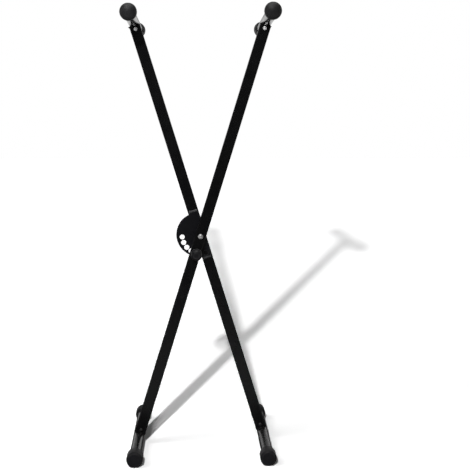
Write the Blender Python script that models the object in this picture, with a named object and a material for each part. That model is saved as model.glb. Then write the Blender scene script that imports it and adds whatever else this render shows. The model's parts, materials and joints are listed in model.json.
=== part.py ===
"""Folding keyboard stand with two crossed legs, a drilled lock plate and a spring plunger.

Metres, +Z up. X runs across the stand, Y away from the viewer, and the origin is on the floor
under the pivot, midway between the legs. Each leg frame hangs on an empty at the pivot, whose
local Z runs up along its leg, so a frame's pieces are placed as they lie on the bench.
"""
import bpy
import bmesh
from math import asin, atan2, cos, pi, radians, sin, sqrt

# Fits
SEAT = 0.0003            # gap between two faces that touch on the real stand
BORE_FIT = 0.0003        # radial clearance of a shank, sleeve or barrel in its hole
PIN_FIT = 0.0004         # radial clearance of the plunger's pin in a hole of the lock plate

# Legs
LEG_WIDTH = 0.025
LEG_WALL = 0.0015
LEG_CORNER = 0.0024
LEAN = radians(17.22)    # each leg from upright at the highest setting
ARM_REACH = 0.509        # pivot to the axis of an arm tube
FOOT_REACH = 0.4915      # pivot to the axis of a foot tube
LEG_END_INSET = 0.0095   # axis of a round tube to the cut end of the leg
LEG_FLARE = 0.0011       # each side wall is splayed out round the tube by this much
LEG_FLARE_LENGTH = 0.005

# Round tubes and the stubs that carry them in the legs
TUBE_DIA = 0.0254
TUBE_WALL = 0.0015
SPREAD = 0.380           # over the caps of one round tube
STUB_WALL = 0.0015
STUB_CORNER = 0.0016
STUB_LENGTH = 0.062      # axis of the round tube to the stub's inner end
END_SCREW_OFFSET = 0.0182

# Rubber caps
CAP_BORE_DEPTH = 0.029
CAP_FLAT = 0.0005        # depth of the narrow flat that meets the floor or the keyboard
ARM_CAP_DIA = 0.0368
ARM_CAP_MOUTH_DIA = 0.0322
ARM_CAP_LENGTH = 0.037
FOOT_CAP_DIA = 0.0356
FOOT_CAP_FACE_DIA = 0.0300
FOOT_CAP_LENGTH = 0.037
CAP_MOUTH_EDGE = 0.0012

# Lock plate on the rear leg
PLATE_THICKNESS = 0.003
PLATE_EDGE = 0.0027      # steel left outside a locking hole
PLATE_ARC_X = -0.0042    # centre of the round edge, in the rear frame
PLATE_ARC_Z = 0.0032
TONGUE_HALF_WIDTH = 0.0115
TONGUE_RISE = 0.0055     # upper end of the tongue, beyond the round edge's radius
PLATE_CORNER = 0.003
LOCK_RADIUS = 0.0424     # pivot to the locking holes
LOCK_STEP = radians(17.9)
LOCK_SETTINGS = 5
FOLDED_GAP = 0.002       # between the arm caps when the stand is folded flat
WELD_LEG = 0.0046
WELD_MARGIN = 0.0015     # end of a bead to the side of the tongue

# Pivot
BOLT_DIA = 0.006
BOLT_HEAD_DIA = 0.0108
BOLT_HEAD_HEIGHT = 0.0034
BOLT_SOCKET = 0.0046     # across the corners of the hexagon socket
BOLT_SOCKET_DEPTH = 0.0021
WASHER_DIA = 0.0122
WASHER_THICKNESS = 0.0016
SLEEVE_DIA = 0.010
SPACER_DIA = 0.024
SPACER_THICKNESS = 0.0012
NUT_ACROSS_FLATS = 0.010
NUT_HEIGHT = 0.005
NUT_COLLAR_DIA = 0.0088
NUT_COLLAR_HEIGHT = 0.0015
BOLT_TAIL = 0.002        # thread that stands out of the nut

# Plunger
PLUNGER_OFFSET = 0.003   # plunger's axis beside the front leg's centreline
PIN_DIA = 0.0108
PIN_CHAMFER = 0.0009
PIN_LENGTH = 0.012
PIN_REST_GAP = 0.0003    # pin tip to the lock plate with the plunger drawn back
PIN_IN = 0.0031          # travel from there into the plate, short of the leg behind it
STEM_DIA = 0.006
BARREL_DIA = 0.0148
FLANGE_DIA = 0.0260
FLANGE_THICKNESS = 0.0024
BOSS_DIA = 0.0165
BOSS_HEIGHT = 0.0045
BARREL_FRONT_WALL = 0.003
FLANGE_CHAMFER = 0.0006
BOSS_CHAMFER = 0.001
KNOB_DIA = 0.0250
KNOB_NECK_DIA = 0.0150
KNOB_NECK_LENGTH = 0.0035
KNOB_LENGTH = 0.0155
KNOB_BACK_ROUND = 0.0035
KNOB_FRONT_ROUND = 0.005
KNOB_CROWN = 0.0005       # rise of the knob's face inside its rounded edge
KNOB_BORE_DEPTH = 0.0095
SPRING_WIRE = 0.0011
SPRING_MEAN_DIA = 0.0083
SPRING_TURNS = 6

# End screws
SCREW_DIA = 0.005
SCREW_HEAD_DIA = 0.0084
SCREW_HEAD_HEIGHT = 0.0027
SCREW_SOCKET = 0.0035
SCREW_SOCKET_DEPTH = 0.0016
SCREW_LENGTH = 0.011
TIP_CHAMFER = 0.0007      # at the end of a bolt's or a screw's thread

CUT_OVERRUN = 0.001      # how far a cutter passes the face where it starts

# Facets round a turned piece
FINE = 36
ROUND = 28
SMALL = 20

# Places worked out from the sizes above
LEG_GAP = 3 * SEAT + PLATE_THICKNESS + SPACER_THICKNESS
LEG_OFFSET = (LEG_GAP + LEG_WIDTH) / 2
LEG_INNER = LEG_WIDTH - 2 * LEG_WALL
TUBE_RADIUS = TUBE_DIA / 2
FOOT_CAP_RADIUS = FOOT_CAP_DIA / 2
PIVOT_HEIGHT = FOOT_REACH * cos(LEAN) + FOOT_CAP_RADIUS - CAP_FLAT
FRONT_FACE = -LEG_GAP / 2 - LEG_WIDTH
FRONT_LEG_BACK = -LEG_GAP / 2
REAR_LEG_FACE = LEG_GAP / 2
REAR_FACE = LEG_GAP / 2 + LEG_WIDTH
PLATE_BACK = REAR_LEG_FACE - SEAT
PLATE_FRONT = PLATE_BACK - PLATE_THICKNESS
SPACER_BACK = PLATE_FRONT - SEAT
SPACER_FRONT = SPACER_BACK - SPACER_THICKNESS
BOLT_HOLE = BOLT_DIA / 2 + BORE_FIT
LOCK_HOLE = PIN_DIA / 2 + PIN_FIT
PLATE_ARC_RADIUS = LOCK_RADIUS + LOCK_HOLE + PLATE_EDGE
TONGUE_DOWN = PLATE_ARC_RADIUS
TONGUE_UP = PLATE_ARC_RADIUS + TONGUE_RISE
PLUNGER_DROP = sqrt(LOCK_RADIUS ** 2 - PLUNGER_OFFSET ** 2)
PLUNGER_ANGLE = asin(PLUNGER_OFFSET / LOCK_RADIUS)
REST_ANGLE = 2 * LEAN
FOLDED_ANGLE = 2 * asin((max(FOOT_CAP_DIA, ARM_CAP_DIA) + FOLDED_GAP) / (2 * FOOT_REACH))
TIP_REST = PLATE_FRONT - PIN_REST_GAP
SHOULDER_REST = TIP_REST - PIN_LENGTH
FLANGE_BACK = FRONT_FACE - SEAT
FLANGE_FRONT = FLANGE_BACK - FLANGE_THICKNESS
BOSS_FRONT = FLANGE_FRONT - BOSS_HEIGHT
SPRING_SEAT = BOSS_FRONT + BARREL_FRONT_WALL
KNOB_BACK = BOSS_FRONT - PIN_IN - SEAT


def clear_scene():
    """Takes every object out of the open file."""
    for old in list(bpy.data.objects):
        bpy.data.objects.remove(old, do_unlink=True)


def finish(name, rgb, roughness, metallic):
    """A material for one sub-part."""
    material = bpy.data.materials.new(name)
    material.use_nodes = True
    shader = material.node_tree.nodes["Principled BSDF"]
    shader.inputs["Base Color"].default_value = (*rgb, 1.0)
    shader.inputs["Roughness"].default_value = roughness
    shader.inputs["Metallic"].default_value = metallic
    return material


def black_paint(name):
    return finish(name, (0.012, 0.012, 0.013), 0.22, 0.0)


def zinc(name):
    return finish(name, (0.62, 0.63, 0.64), 0.3, 1.0)


def rubber(name):
    return finish(name, (0.045, 0.045, 0.047), 0.75, 0.0)


def black_plastic(name):
    return finish(name, (0.02, 0.02, 0.021), 0.4, 0.0)


def add_object(name, data, parent, place=(0.0, 0.0, 0.0), turn=(0.0, 0.0, 0.0)):
    """Links a mesh or curve as one named piece under an empty."""
    piece = bpy.data.objects.new(name, data)
    bpy.context.scene.collection.objects.link(piece)
    piece.parent = parent
    piece.location = place
    piece.rotation_euler = turn
    return piece


def mesh_from(bm, name, material=None, crease=radians(32)):
    """Closes off a bmesh: faces outwards, smooth across gentle angles."""
    bmesh.ops.recalc_face_normals(bm, faces=bm.faces[:])
    mesh = bpy.data.meshes.new(name)
    bm.to_mesh(mesh)
    bm.free()
    mesh.shade_smooth()
    mesh.set_sharp_from_angle(angle=crease)
    if material:
        mesh.materials.append(material)
    return mesh


def bridge(bm, ring_a, ring_b):
    """Quads between two rings of the same count, or a fan to a single point."""
    count = max(len(ring_a), len(ring_b))
    for i in range(count):
        j = (i + 1) % count
        if len(ring_a) == 1:
            bm.faces.new((ring_a[0], ring_b[j], ring_b[i]))
        elif len(ring_b) == 1:
            bm.faces.new((ring_a[i], ring_a[j], ring_b[0]))
        else:
            bm.faces.new((ring_a[i], ring_a[j], ring_b[j], ring_b[i]))


def turned_bmesh(profile, facets, closed):
    """Turns (radius, y) points about the Y axis; a closed profile makes a piece with a bore."""
    bm = bmesh.new()
    rings = []
    for radius, y in profile:
        if radius == 0.0:
            rings.append([bm.verts.new((0.0, y, 0.0))])
            continue
        angles = [2 * pi * (k + 0.5) / facets for k in range(facets)]
        rings.append([bm.verts.new((radius * cos(a), y, radius * sin(a))) for a in angles])
    for ring_a, ring_b in zip(rings, rings[1:]):
        bridge(bm, ring_a, ring_b)
    if closed:
        bridge(bm, rings[-1], rings[0])
    return bm


def turned(name, profile, material, facets=ROUND, closed=False):
    return mesh_from(turned_bmesh(profile, facets, closed), name, material)


def ring_profile(inner, outer, y_a, y_b):
    """Section of a plain sleeve or washer."""
    return [(inner, y_a), (outer, y_a), (outer, y_b), (inner, y_b)]


def rounded_square(side, corner, steps=3):
    """Corner points of a square with round corners, anticlockwise."""
    points = []
    reach = side / 2 - corner
    for quarter in range(4):
        centre_x = reach if quarter in (0, 3) else -reach
        centre_y = reach if quarter in (0, 1) else -reach
        for k in range(steps + 1):
            angle = (quarter + k / steps) * pi / 2
            points.append((centre_x + corner * cos(angle), centre_y + corner * sin(angle)))
    return points


def square_tube(name, side, wall, corner, stations, material):
    """Square tube along Z with round corners, open at both ends; stations are (z, splay) pairs."""
    bm = bmesh.new()
    outer = rounded_square(side, corner)
    inner = rounded_square(side - 2 * wall, max(corner - wall, SEAT))
    rings = []
    for outline, places in ((outer, stations), (inner, stations[::-1])):
        for z, splay in places:
            stretch = 1 + 2 * splay / side
            rings.append([bm.verts.new((x * stretch, y, z)) for x, y in outline])
    for ring_a, ring_b in zip(rings, rings[1:] + rings[:1]):
        bridge(bm, ring_a, ring_b)
    return mesh_from(bm, name, material)


def round_tube(name, length, material):
    """Round tube along Y, open at both ends, centred on its own origin."""
    profile = ring_profile(TUBE_RADIUS - TUBE_WALL, TUBE_RADIUS, -length / 2, length / 2)
    return turned(name, profile, material, FINE, closed=True)


def use_cutter(piece, cutter, operation="DIFFERENCE"):
    """Applies a hidden solid to a piece with a Boolean modifier."""
    cutter.hide_render = True
    cutter.display_type = "WIRE"
    step = piece.modifiers.new(cutter.name, "BOOLEAN")
    step.operation = operation
    step.solver = "EXACT"
    step.object = cutter


def bar(bm, radius, y_a, y_b, x, z, facets):
    """Adds a closed round bar along Y to a bmesh."""
    ends = []
    for y in (y_a, y_b):
        angles = [2 * pi * (k + 0.5) / facets for k in range(facets)]
        ends.append([bm.verts.new((x + radius * cos(a), y, z + radius * sin(a))) for a in angles])
    bridge(bm, ends[0], ends[1])
    bm.faces.new(ends[0])
    bm.faces.new(ends[1])


def drill(piece, holes):
    """Cuts round holes along Y; each hole is (radius, y_a, y_b, x, z, facets) in the frame's axes."""
    bm = bmesh.new()
    for radius, y_a, y_b, x, z, facets in holes:
        bar(bm, radius, y_a, y_b, x, z, facets)
    name = piece.name + "_holes"
    cutter = add_object(name, mesh_from(bm, name), piece.parent)
    use_cutter(piece, cutter)


def hex_cutter(name, corners, y_a, y_b, parent, z=0.0):
    """Closed hexagon bar along Y, used for sockets and as the nut's own body."""
    bm = bmesh.new()
    ends = []
    for y in (y_a, y_b):
        ends.append([bm.verts.new((corners / 2 * cos(k * pi / 3), y, corners / 2 * sin(k * pi / 3)))
                     for k in range(6)])
    bridge(bm, ends[0], ends[1])
    bm.faces.new(ends[0])
    bm.faces.new(ends[1])
    return add_object(name, mesh_from(bm, name), parent, (0.0, 0.0, z))


def button_head(radius, height, face_y):
    """Domed head that stands towards -Y from its seat at face_y, from the rim to the crown."""
    rows = 4
    points = [(radius, face_y), (radius, face_y - 0.2 * height)]
    for k in range(1, rows):
        angle = k / rows * pi / 2
        points.append((radius * (0.45 + 0.55 * cos(angle)), face_y - height * (0.2 + 0.8 * sin(angle))))
    points.append((radius * 0.42, face_y - height))
    points.append((0.0, face_y - height))
    return points


def leg(name, parent, offset, own_holes):
    """Square leg tube with saddled ends, its pivot hole, its screw holes and any holes of its own."""
    bottom = -(FOOT_REACH - LEG_END_INSET)
    top = ARM_REACH - LEG_END_INSET
    stations = [(bottom, LEG_FLARE), (bottom + LEG_FLARE_LENGTH, 0.0),
                (top - LEG_FLARE_LENGTH, 0.0), (top, LEG_FLARE)]
    mesh = square_tube(name, LEG_WIDTH, LEG_WALL, LEG_CORNER, stations, black_paint(name))
    piece = add_object(name, mesh, parent, (0.0, offset, 0.0))
    reach_a = offset - LEG_WIDTH
    reach_b = offset + LEG_WIDTH
    saddle = TUBE_RADIUS + SEAT
    screw = SCREW_DIA / 2 + BORE_FIT
    drill(piece, [(saddle, reach_a, reach_b, 0.0, ARM_REACH, FINE),
                  (saddle, reach_a, reach_b, 0.0, -FOOT_REACH, FINE),
                  (BOLT_HOLE, reach_a, reach_b, 0.0, 0.0, SMALL),
                  (screw, reach_a, offset, 0.0, ARM_REACH - END_SCREW_OFFSET, SMALL),
                  (screw, reach_a, offset, 0.0, END_SCREW_OFFSET - FOOT_REACH, SMALL)] + own_holes)


def stub(name, parent, offset, end, reach):
    """Square stub inside the leg, saddled onto the round tube; end is +1 at the arm, -1 at the foot."""
    side = LEG_INNER - 2 * SEAT
    near = end * reach
    far = end * (reach - STUB_LENGTH)
    stations = [(min(near, far), 0.0), (max(near, far), 0.0)]
    mesh = square_tube(name, side, STUB_WALL, STUB_CORNER, stations, black_paint(name))
    piece = add_object(name, mesh, parent, (0.0, offset, 0.0))
    reach_a = offset - LEG_WIDTH
    reach_b = offset + LEG_WIDTH
    drill(piece, [(TUBE_RADIUS + SEAT, reach_a, reach_b, 0.0, near, FINE),
                  (SCREW_DIA / 2 + BORE_FIT, reach_a, offset, 0.0, end * (reach - END_SCREW_OFFSET), SMALL)])


def end_screw(name, parent, face_y, z):
    """Button-head screw through the leg's front wall into the stub."""
    seat_y = face_y - SEAT
    shank = SCREW_DIA / 2
    tip = seat_y + SCREW_LENGTH
    profile = [(0.0, tip), (shank - TIP_CHAMFER, tip), (shank, tip - TIP_CHAMFER), (shank, seat_y)]
    profile += button_head(SCREW_HEAD_DIA / 2, SCREW_HEAD_HEIGHT, seat_y)
    piece = add_object(name, turned(name, profile, zinc(name), SMALL), parent, (0.0, 0.0, z))
    crown = seat_y - SCREW_HEAD_HEIGHT
    cutter = hex_cutter(name + "_socket", SCREW_SOCKET, crown - CUT_OVERRUN,
                        crown + SCREW_SOCKET_DEPTH, parent, z)
    use_cutter(piece, cutter)


def arm_cap_profile():
    """Section of the bulb-shaped arm cap: outer end at y = 0, mouth at y = ARM_CAP_LENGTH."""
    full = ARM_CAP_DIA / 2
    mouth = ARM_CAP_MOUTH_DIA / 2
    bore = TUBE_RADIUS + SEAT
    crown = full * 0.92
    points = [(0.0, 0.0)]
    for k in range(1, 6):
        angle = k / 5 * pi / 2
        points.append((full * sin(angle), crown * (1 - cos(angle))))
    points.append((full * 0.985, crown + 0.35 * (ARM_CAP_LENGTH - crown)))
    points.append((mouth, ARM_CAP_LENGTH - CAP_MOUTH_EDGE))
    points.append((mouth - CAP_MOUTH_EDGE, ARM_CAP_LENGTH))
    points.append((bore, ARM_CAP_LENGTH))
    points.append((bore, ARM_CAP_LENGTH - CAP_BORE_DEPTH))
    points.append((0.0, ARM_CAP_LENGTH - CAP_BORE_DEPTH))
    return points


def foot_cap_profile():
    """Section of the straighter foot cap, with a flat outer face and a rounded edge."""
    full = FOOT_CAP_DIA / 2
    face = FOOT_CAP_FACE_DIA / 2
    bore = TUBE_RADIUS + SEAT
    edge = full - face
    depth = 1.8 * edge
    points = [(0.0, 0.0), (face * 0.9, 0.0)]
    for k in range(5):
        angle = k / 4 * pi / 2
        points.append((face + edge * sin(angle), 0.12 * depth + depth * (1 - cos(angle))))
    points.append((full, FOOT_CAP_LENGTH - 2 * CAP_MOUTH_EDGE))
    points.append((full - CAP_MOUTH_EDGE, FOOT_CAP_LENGTH))
    points.append((bore, FOOT_CAP_LENGTH))
    points.append((bore, FOOT_CAP_LENGTH - CAP_BORE_DEPTH))
    points.append((0.0, FOOT_CAP_LENGTH - CAP_BORE_DEPTH))
    return points


def cap_mesh(name, profile, radius, side):
    """Turned cap with a narrow flat on its upper (+1) or lower (-1) side."""
    bm = turned_bmesh(profile, ROUND, closed=False)
    plane = side * (radius - CAP_FLAT)
    cut = bmesh.ops.bisect_plane(bm, geom=bm.verts[:] + bm.edges[:] + bm.faces[:],
                                 plane_co=(0.0, 0.0, plane), plane_no=(0.0, 0.0, side),
                                 clear_outer=True)
    rim = [item for item in cut["geom_cut"] if isinstance(item, bmesh.types.BMEdge)]
    bmesh.ops.holes_fill(bm, edges=rim)
    return mesh_from(bm, name, rubber(name))


def round_end(frame, label, parent, lean, offset, end, reach):
    """Round tube, its stub, its screw and its two caps at one end of a leg."""
    arm = end > 0
    length = ARM_CAP_LENGTH if arm else FOOT_CAP_LENGTH
    radius = (ARM_CAP_DIA if arm else FOOT_CAP_DIA) / 2
    profile = arm_cap_profile() if arm else foot_cap_profile()
    centre_y = offset if arm else 0.0
    z = end * reach
    base = frame + "_" + label
    floor_of_cap = length - CAP_BORE_DEPTH
    tube = round_tube(base + "_tube", SPREAD - 2 * (floor_of_cap + SEAT), black_paint(base + "_tube"))
    add_object(base + "_tube", tube, parent, (0.0, centre_y, z))
    stub(base + "_stub", parent, offset, end, reach)
    end_screw(base + "_screw", parent, offset - LEG_WIDTH / 2, end * (reach - END_SCREW_OFFSET))
    for word, way in (("near", -1), ("far", 1)):
        name = base + "_cap_" + word
        mesh = cap_mesh(name, profile, radius, end)
        turn = (0.0, -lean, 0.0) if way < 0 else (0.0, lean, pi)
        add_object(name, mesh, parent, (0.0, centre_y + way * SPREAD / 2, z), turn)


def plate_outline():
    """Outline of the lock plate in the rear frame, anticlockwise from the lower right corner."""
    points = []
    right = TONGUE_HALF_WIDTH - PLATE_CORNER
    for centre_z, start in ((-TONGUE_DOWN + PLATE_CORNER, -90), (TONGUE_UP - PLATE_CORNER, 0)):
        for k in range(4):
            angle = radians(start + 30 * k)
            points.append((right + PLATE_CORNER * cos(angle), centre_z + PLATE_CORNER * sin(angle)))
    neck = -TONGUE_HALF_WIDTH + PLATE_CORNER
    shoulder = -TONGUE_HALF_WIDTH - PLATE_CORNER / 2
    rise = sqrt(PLATE_ARC_RADIUS ** 2 - (shoulder - PLATE_ARC_X) ** 2)
    start = atan2(rise, shoulder - PLATE_ARC_X)
    sweep = 2 * (pi - start)
    steps = 30
    points.append((neck, TONGUE_UP))
    for k in range(steps + 1):
        angle = start + sweep * k / steps
        points.append((PLATE_ARC_X + PLATE_ARC_RADIUS * cos(angle),
                       PLATE_ARC_Z + PLATE_ARC_RADIUS * sin(angle)))
    points.append((neck, -TONGUE_DOWN))
    return points


def lock_spot(angle):
    """Where the plunger's axis stands in the rear frame, with the legs at that angle."""
    turn = angle - PLUNGER_ANGLE
    return -LOCK_RADIUS * sin(turn), -LOCK_RADIUS * cos(turn)


def lock_plate(parent):
    """Drilled steel plate, one hole for each height and one for the folded stand."""
    bm = bmesh.new()
    front = [bm.verts.new((x, PLATE_FRONT, z)) for x, z in plate_outline()]
    face = bm.faces.new(front)
    moved = bmesh.ops.extrude_face_region(bm, geom=[face])
    back = [item for item in moved["geom"] if isinstance(item, bmesh.types.BMVert)]
    bmesh.ops.translate(bm, verts=back, vec=(0.0, PLATE_THICKNESS, 0.0))
    piece = add_object("lock_plate", mesh_from(bm, "lock_plate", black_paint("lock_plate")), parent)
    front_y = PLATE_FRONT - PLATE_THICKNESS
    back_y = PLATE_BACK + PLATE_THICKNESS
    holes = [(BOLT_HOLE, front_y, back_y, 0.0, 0.0, SMALL)]
    for angle in [REST_ANGLE + k * LOCK_STEP for k in range(LOCK_SETTINGS)] + [FOLDED_ANGLE]:
        x, z = lock_spot(angle)
        holes.append((LOCK_HOLE, front_y, back_y, x, z, ROUND))
    drill(piece, holes)


def weld_bead(name, parent, edge_z, way):
    """Rippled fillet across the leg, where the end of the plate's tongue meets it."""
    stations = 22
    section = 5
    root_y = REAR_LEG_FACE - SEAT
    height = PLATE_THICKNESS - SEAT
    start_z = edge_z + way * SEAT
    bm = bmesh.new()
    rings = []
    for k in range(stations + 1):
        along = k / stations
        x = (2 * along - 1) * (TONGUE_HALF_WIDTH - WELD_MARGIN)
        swell = min(1.0, 0.55 + 5 * min(along, 1 - along)) * (1 + 0.07 * sin(along * 9 * 2 * pi))
        ring = [bm.verts.new((x, root_y, start_z))]
        for j in range(section):
            angle = j / (section - 1) * pi / 2
            reach = WELD_LEG * swell * cos(angle)
            rise = height * min(swell, 1.0) * sin(angle)
            ring.append(bm.verts.new((x, root_y - rise, start_z + way * reach)))
        rings.append(ring)
    for ring_a, ring_b in zip(rings, rings[1:]):
        bridge(bm, ring_a, ring_b)
    bm.faces.new(rings[0])
    bm.faces.new(rings[-1])
    add_object(name, mesh_from(bm, name, black_paint(name)), parent)


def pivot(rear, front):
    """Bolt, washers, sleeves, spacer and lock nut on the pivot's axis."""
    shank = BOLT_DIA / 2
    washer_back = FRONT_FACE - SEAT
    washer_front = washer_back - WASHER_THICKNESS
    head_seat = washer_front - SEAT
    nut_washer_front = REAR_FACE + SEAT
    nut_washer_back = nut_washer_front + WASHER_THICKNESS
    nut_front = nut_washer_back + SEAT
    nut_back = nut_front + NUT_HEIGHT + NUT_COLLAR_HEIGHT
    tip = nut_back + BOLT_TAIL
    profile = [(0.0, tip), (shank - TIP_CHAMFER, tip), (shank, tip - TIP_CHAMFER), (shank, head_seat)]
    profile += button_head(BOLT_HEAD_DIA / 2, BOLT_HEAD_HEIGHT, head_seat)
    bolt = add_object("pivot_bolt", turned("pivot_bolt", profile, zinc("pivot_bolt")), rear)
    crown = head_seat - BOLT_HEAD_HEIGHT
    socket = hex_cutter("pivot_bolt_socket", BOLT_SOCKET, crown - CUT_OVERRUN,
                        crown + BOLT_SOCKET_DEPTH, rear)
    use_cutter(bolt, socket)
    for name, y_a, y_b in (("pivot_head_washer", washer_front, washer_back),
                           ("pivot_nut_washer", nut_washer_front, nut_washer_back)):
        profile = ring_profile(BOLT_HOLE, WASHER_DIA / 2, y_a, y_b)
        add_object(name, turned(name, profile, zinc(name), closed=True), rear)
    inside = LEG_INNER / 2 - SEAT
    for name, parent, offset in (("pivot_sleeve_front", front, -LEG_OFFSET),
                                 ("pivot_sleeve_rear", rear, LEG_OFFSET)):
        profile = ring_profile(BOLT_HOLE, SLEEVE_DIA / 2, offset - inside, offset + inside)
        add_object(name, turned(name, profile, zinc(name), SMALL, closed=True), parent)
    profile = ring_profile(BOLT_HOLE, SPACER_DIA / 2, SPACER_FRONT, SPACER_BACK)
    spacer = turned("pivot_spacer", profile, black_plastic("pivot_spacer"), closed=True)
    add_object("pivot_spacer", spacer, rear)
    lock_nut(rear, nut_front, nut_back)


def lock_nut(parent, front_y, back_y):
    """Hexagon nut with a round collar for its locking ring."""
    corners = NUT_ACROSS_FLATS / cos(pi / 6)
    body = hex_cutter("pivot_lock_nut", corners, front_y, front_y + NUT_HEIGHT, parent)
    body.data.materials.append(zinc("pivot_lock_nut"))
    bm = bmesh.new()
    collar_front = back_y - NUT_COLLAR_HEIGHT - CUT_OVERRUN
    bar(bm, NUT_COLLAR_DIA / 2, collar_front, back_y, 0.0, 0.0, ROUND)
    collar = mesh_from(bm, "pivot_lock_nut_collar")
    use_cutter(body, add_object("pivot_lock_nut_collar", collar, parent), "UNION")
    drill(body, [(BOLT_HOLE, front_y - NUT_HEIGHT, back_y + NUT_HEIGHT, 0.0, 0.0, SMALL)])


def plunger(front):
    """Spring plunger on the front leg: housing, pin with its stem, spring and pull knob."""
    pin = PIN_DIA / 2
    stem = STEM_DIA / 2
    chamber = pin + PIN_FIT
    stem_bore = stem + BORE_FIT
    profile = [(chamber, FRONT_LEG_BACK), (BARREL_DIA / 2, FRONT_LEG_BACK),
               (BARREL_DIA / 2, FLANGE_BACK), (FLANGE_DIA / 2, FLANGE_BACK),
               (FLANGE_DIA / 2, FLANGE_FRONT + FLANGE_CHAMFER),
               (FLANGE_DIA / 2 - FLANGE_CHAMFER, FLANGE_FRONT),
               (BOSS_DIA / 2, FLANGE_FRONT), (BOSS_DIA / 2, BOSS_FRONT + BOSS_CHAMFER),
               (BOSS_DIA / 2 - BOSS_CHAMFER, BOSS_FRONT), (stem_bore, BOSS_FRONT),
               (stem_bore, SPRING_SEAT), (chamber, SPRING_SEAT)]
    housing = turned("plunger_housing", profile, black_paint("plunger_housing"), closed=True)
    add_object("plunger_housing", housing, front, (PLUNGER_OFFSET, 0.0, -PLUNGER_DROP))

    slide = bpy.data.objects.new("plunger_axis", None)
    bpy.context.scene.collection.objects.link(slide)
    slide.parent = front
    slide.location = (PLUNGER_OFFSET, 0.0, -PLUNGER_DROP)
    stem_end = KNOB_BACK - KNOB_BORE_DEPTH + SEAT
    profile = [(0.0, TIP_REST), (pin - PIN_CHAMFER, TIP_REST), (pin, TIP_REST - PIN_CHAMFER),
               (pin, SHOULDER_REST), (stem, SHOULDER_REST), (stem, stem_end), (0.0, stem_end)]
    add_object("plunger_pin", turned("plunger_pin", profile, zinc("plunger_pin")), slide)
    pull_knob(slide, stem_bore)
    plunger_spring(slide)


def pull_knob(parent, bore):
    """Turned knob with a neck, a waisted back and a domed front."""
    full = KNOB_DIA / 2
    neck = KNOB_NECK_DIA / 2
    front = KNOB_BACK - KNOB_LENGTH
    flare = KNOB_BACK - KNOB_NECK_LENGTH
    bore_end = KNOB_BACK - KNOB_BORE_DEPTH
    points = [(0.0, bore_end), (bore, bore_end), (bore, KNOB_BACK), (neck, KNOB_BACK), (neck, flare)]
    for k in range(1, 4):
        angle = k / 3 * pi / 2
        points.append((neck + (full - neck) * sin(angle), flare - KNOB_BACK_ROUND * (1 - cos(angle))))
    shoulder = front + KNOB_CROWN + KNOB_FRONT_ROUND
    for k in range(5):
        angle = k / 5 * pi / 2
        points.append((full * (0.45 + 0.55 * cos(angle)), shoulder - KNOB_FRONT_ROUND * sin(angle)))
    points.append((full * 0.3, front))
    points.append((0.0, front))
    add_object("pull_knob", turned("pull_knob", points, black_plastic("pull_knob")), parent)


def plunger_spring(parent):
    """Helical spring round the stem, from the pin's shoulder to the housing's front wall."""
    wire = SPRING_WIRE / 2
    start = SHOULDER_REST - SEAT - wire
    end = SPRING_SEAT + SEAT + wire
    per_turn = 10
    count = SPRING_TURNS * per_turn
    curve = bpy.data.curves.new("plunger_spring", "CURVE")
    curve.dimensions = "3D"
    curve.bevel_depth = wire
    curve.bevel_resolution = 1
    curve.use_fill_caps = True
    line = curve.splines.new("POLY")
    line.points.add(count)
    for k in range(count + 1):
        angle = 2 * pi * k / per_turn
        y = start + (end - start) * k / count
        line.points[k].co = (SPRING_MEAN_DIA / 2 * cos(angle), y, SPRING_MEAN_DIA / 2 * sin(angle), 1.0)
    curve.materials.append(zinc("plunger_spring"))
    add_object("plunger_spring", curve, parent)


def leg_frame(label, lean, offset, own_holes):
    """Empty on the pivot with one leg and the round tubes at its ends."""
    frame = bpy.data.objects.new(label + "_frame", None)
    bpy.context.scene.collection.objects.link(frame)
    frame.location = (0.0, 0.0, PIVOT_HEIGHT)
    frame.rotation_euler = (0.0, lean, 0.0)
    leg(label + "_leg", frame, offset, own_holes)
    round_end(label, "arm", frame, lean, offset, 1, ARM_REACH)
    round_end(label, "foot", frame, lean, offset, -1, FOOT_REACH)
    return frame


clear_scene()
barrel_hole = (BARREL_DIA / 2 + BORE_FIT, -LEG_OFFSET - LEG_WIDTH, 0.0,
               PLUNGER_OFFSET, -PLUNGER_DROP, ROUND)
rear_frame = leg_frame("rear", -LEAN, LEG_OFFSET, [])
front_frame = leg_frame("front", LEAN, -LEG_OFFSET, [barrel_hole])
lock_plate(rear_frame)
weld_bead("lock_plate_weld_upper", rear_frame, TONGUE_UP, 1)
weld_bead("lock_plate_weld_lower", rear_frame, -TONGUE_DOWN, -1)
pivot(rear_frame, front_frame)
plunger(front_frame)
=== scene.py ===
"""Dresses the folding keyboard stand: painted tubes, rubber caps, drilled lock plate and plunger.

Metres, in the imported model's frame: X across the stand, Y away from the camera, Z up. The pieces
of a leg frame are made upright about the pivot, and then leaned over with it.
"""

import json
import bpy
import bmesh
from math import asin, atan2, cos, exp, pi, radians, sin, sqrt, tan
from mathutils import Matrix, Vector, noise


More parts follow.
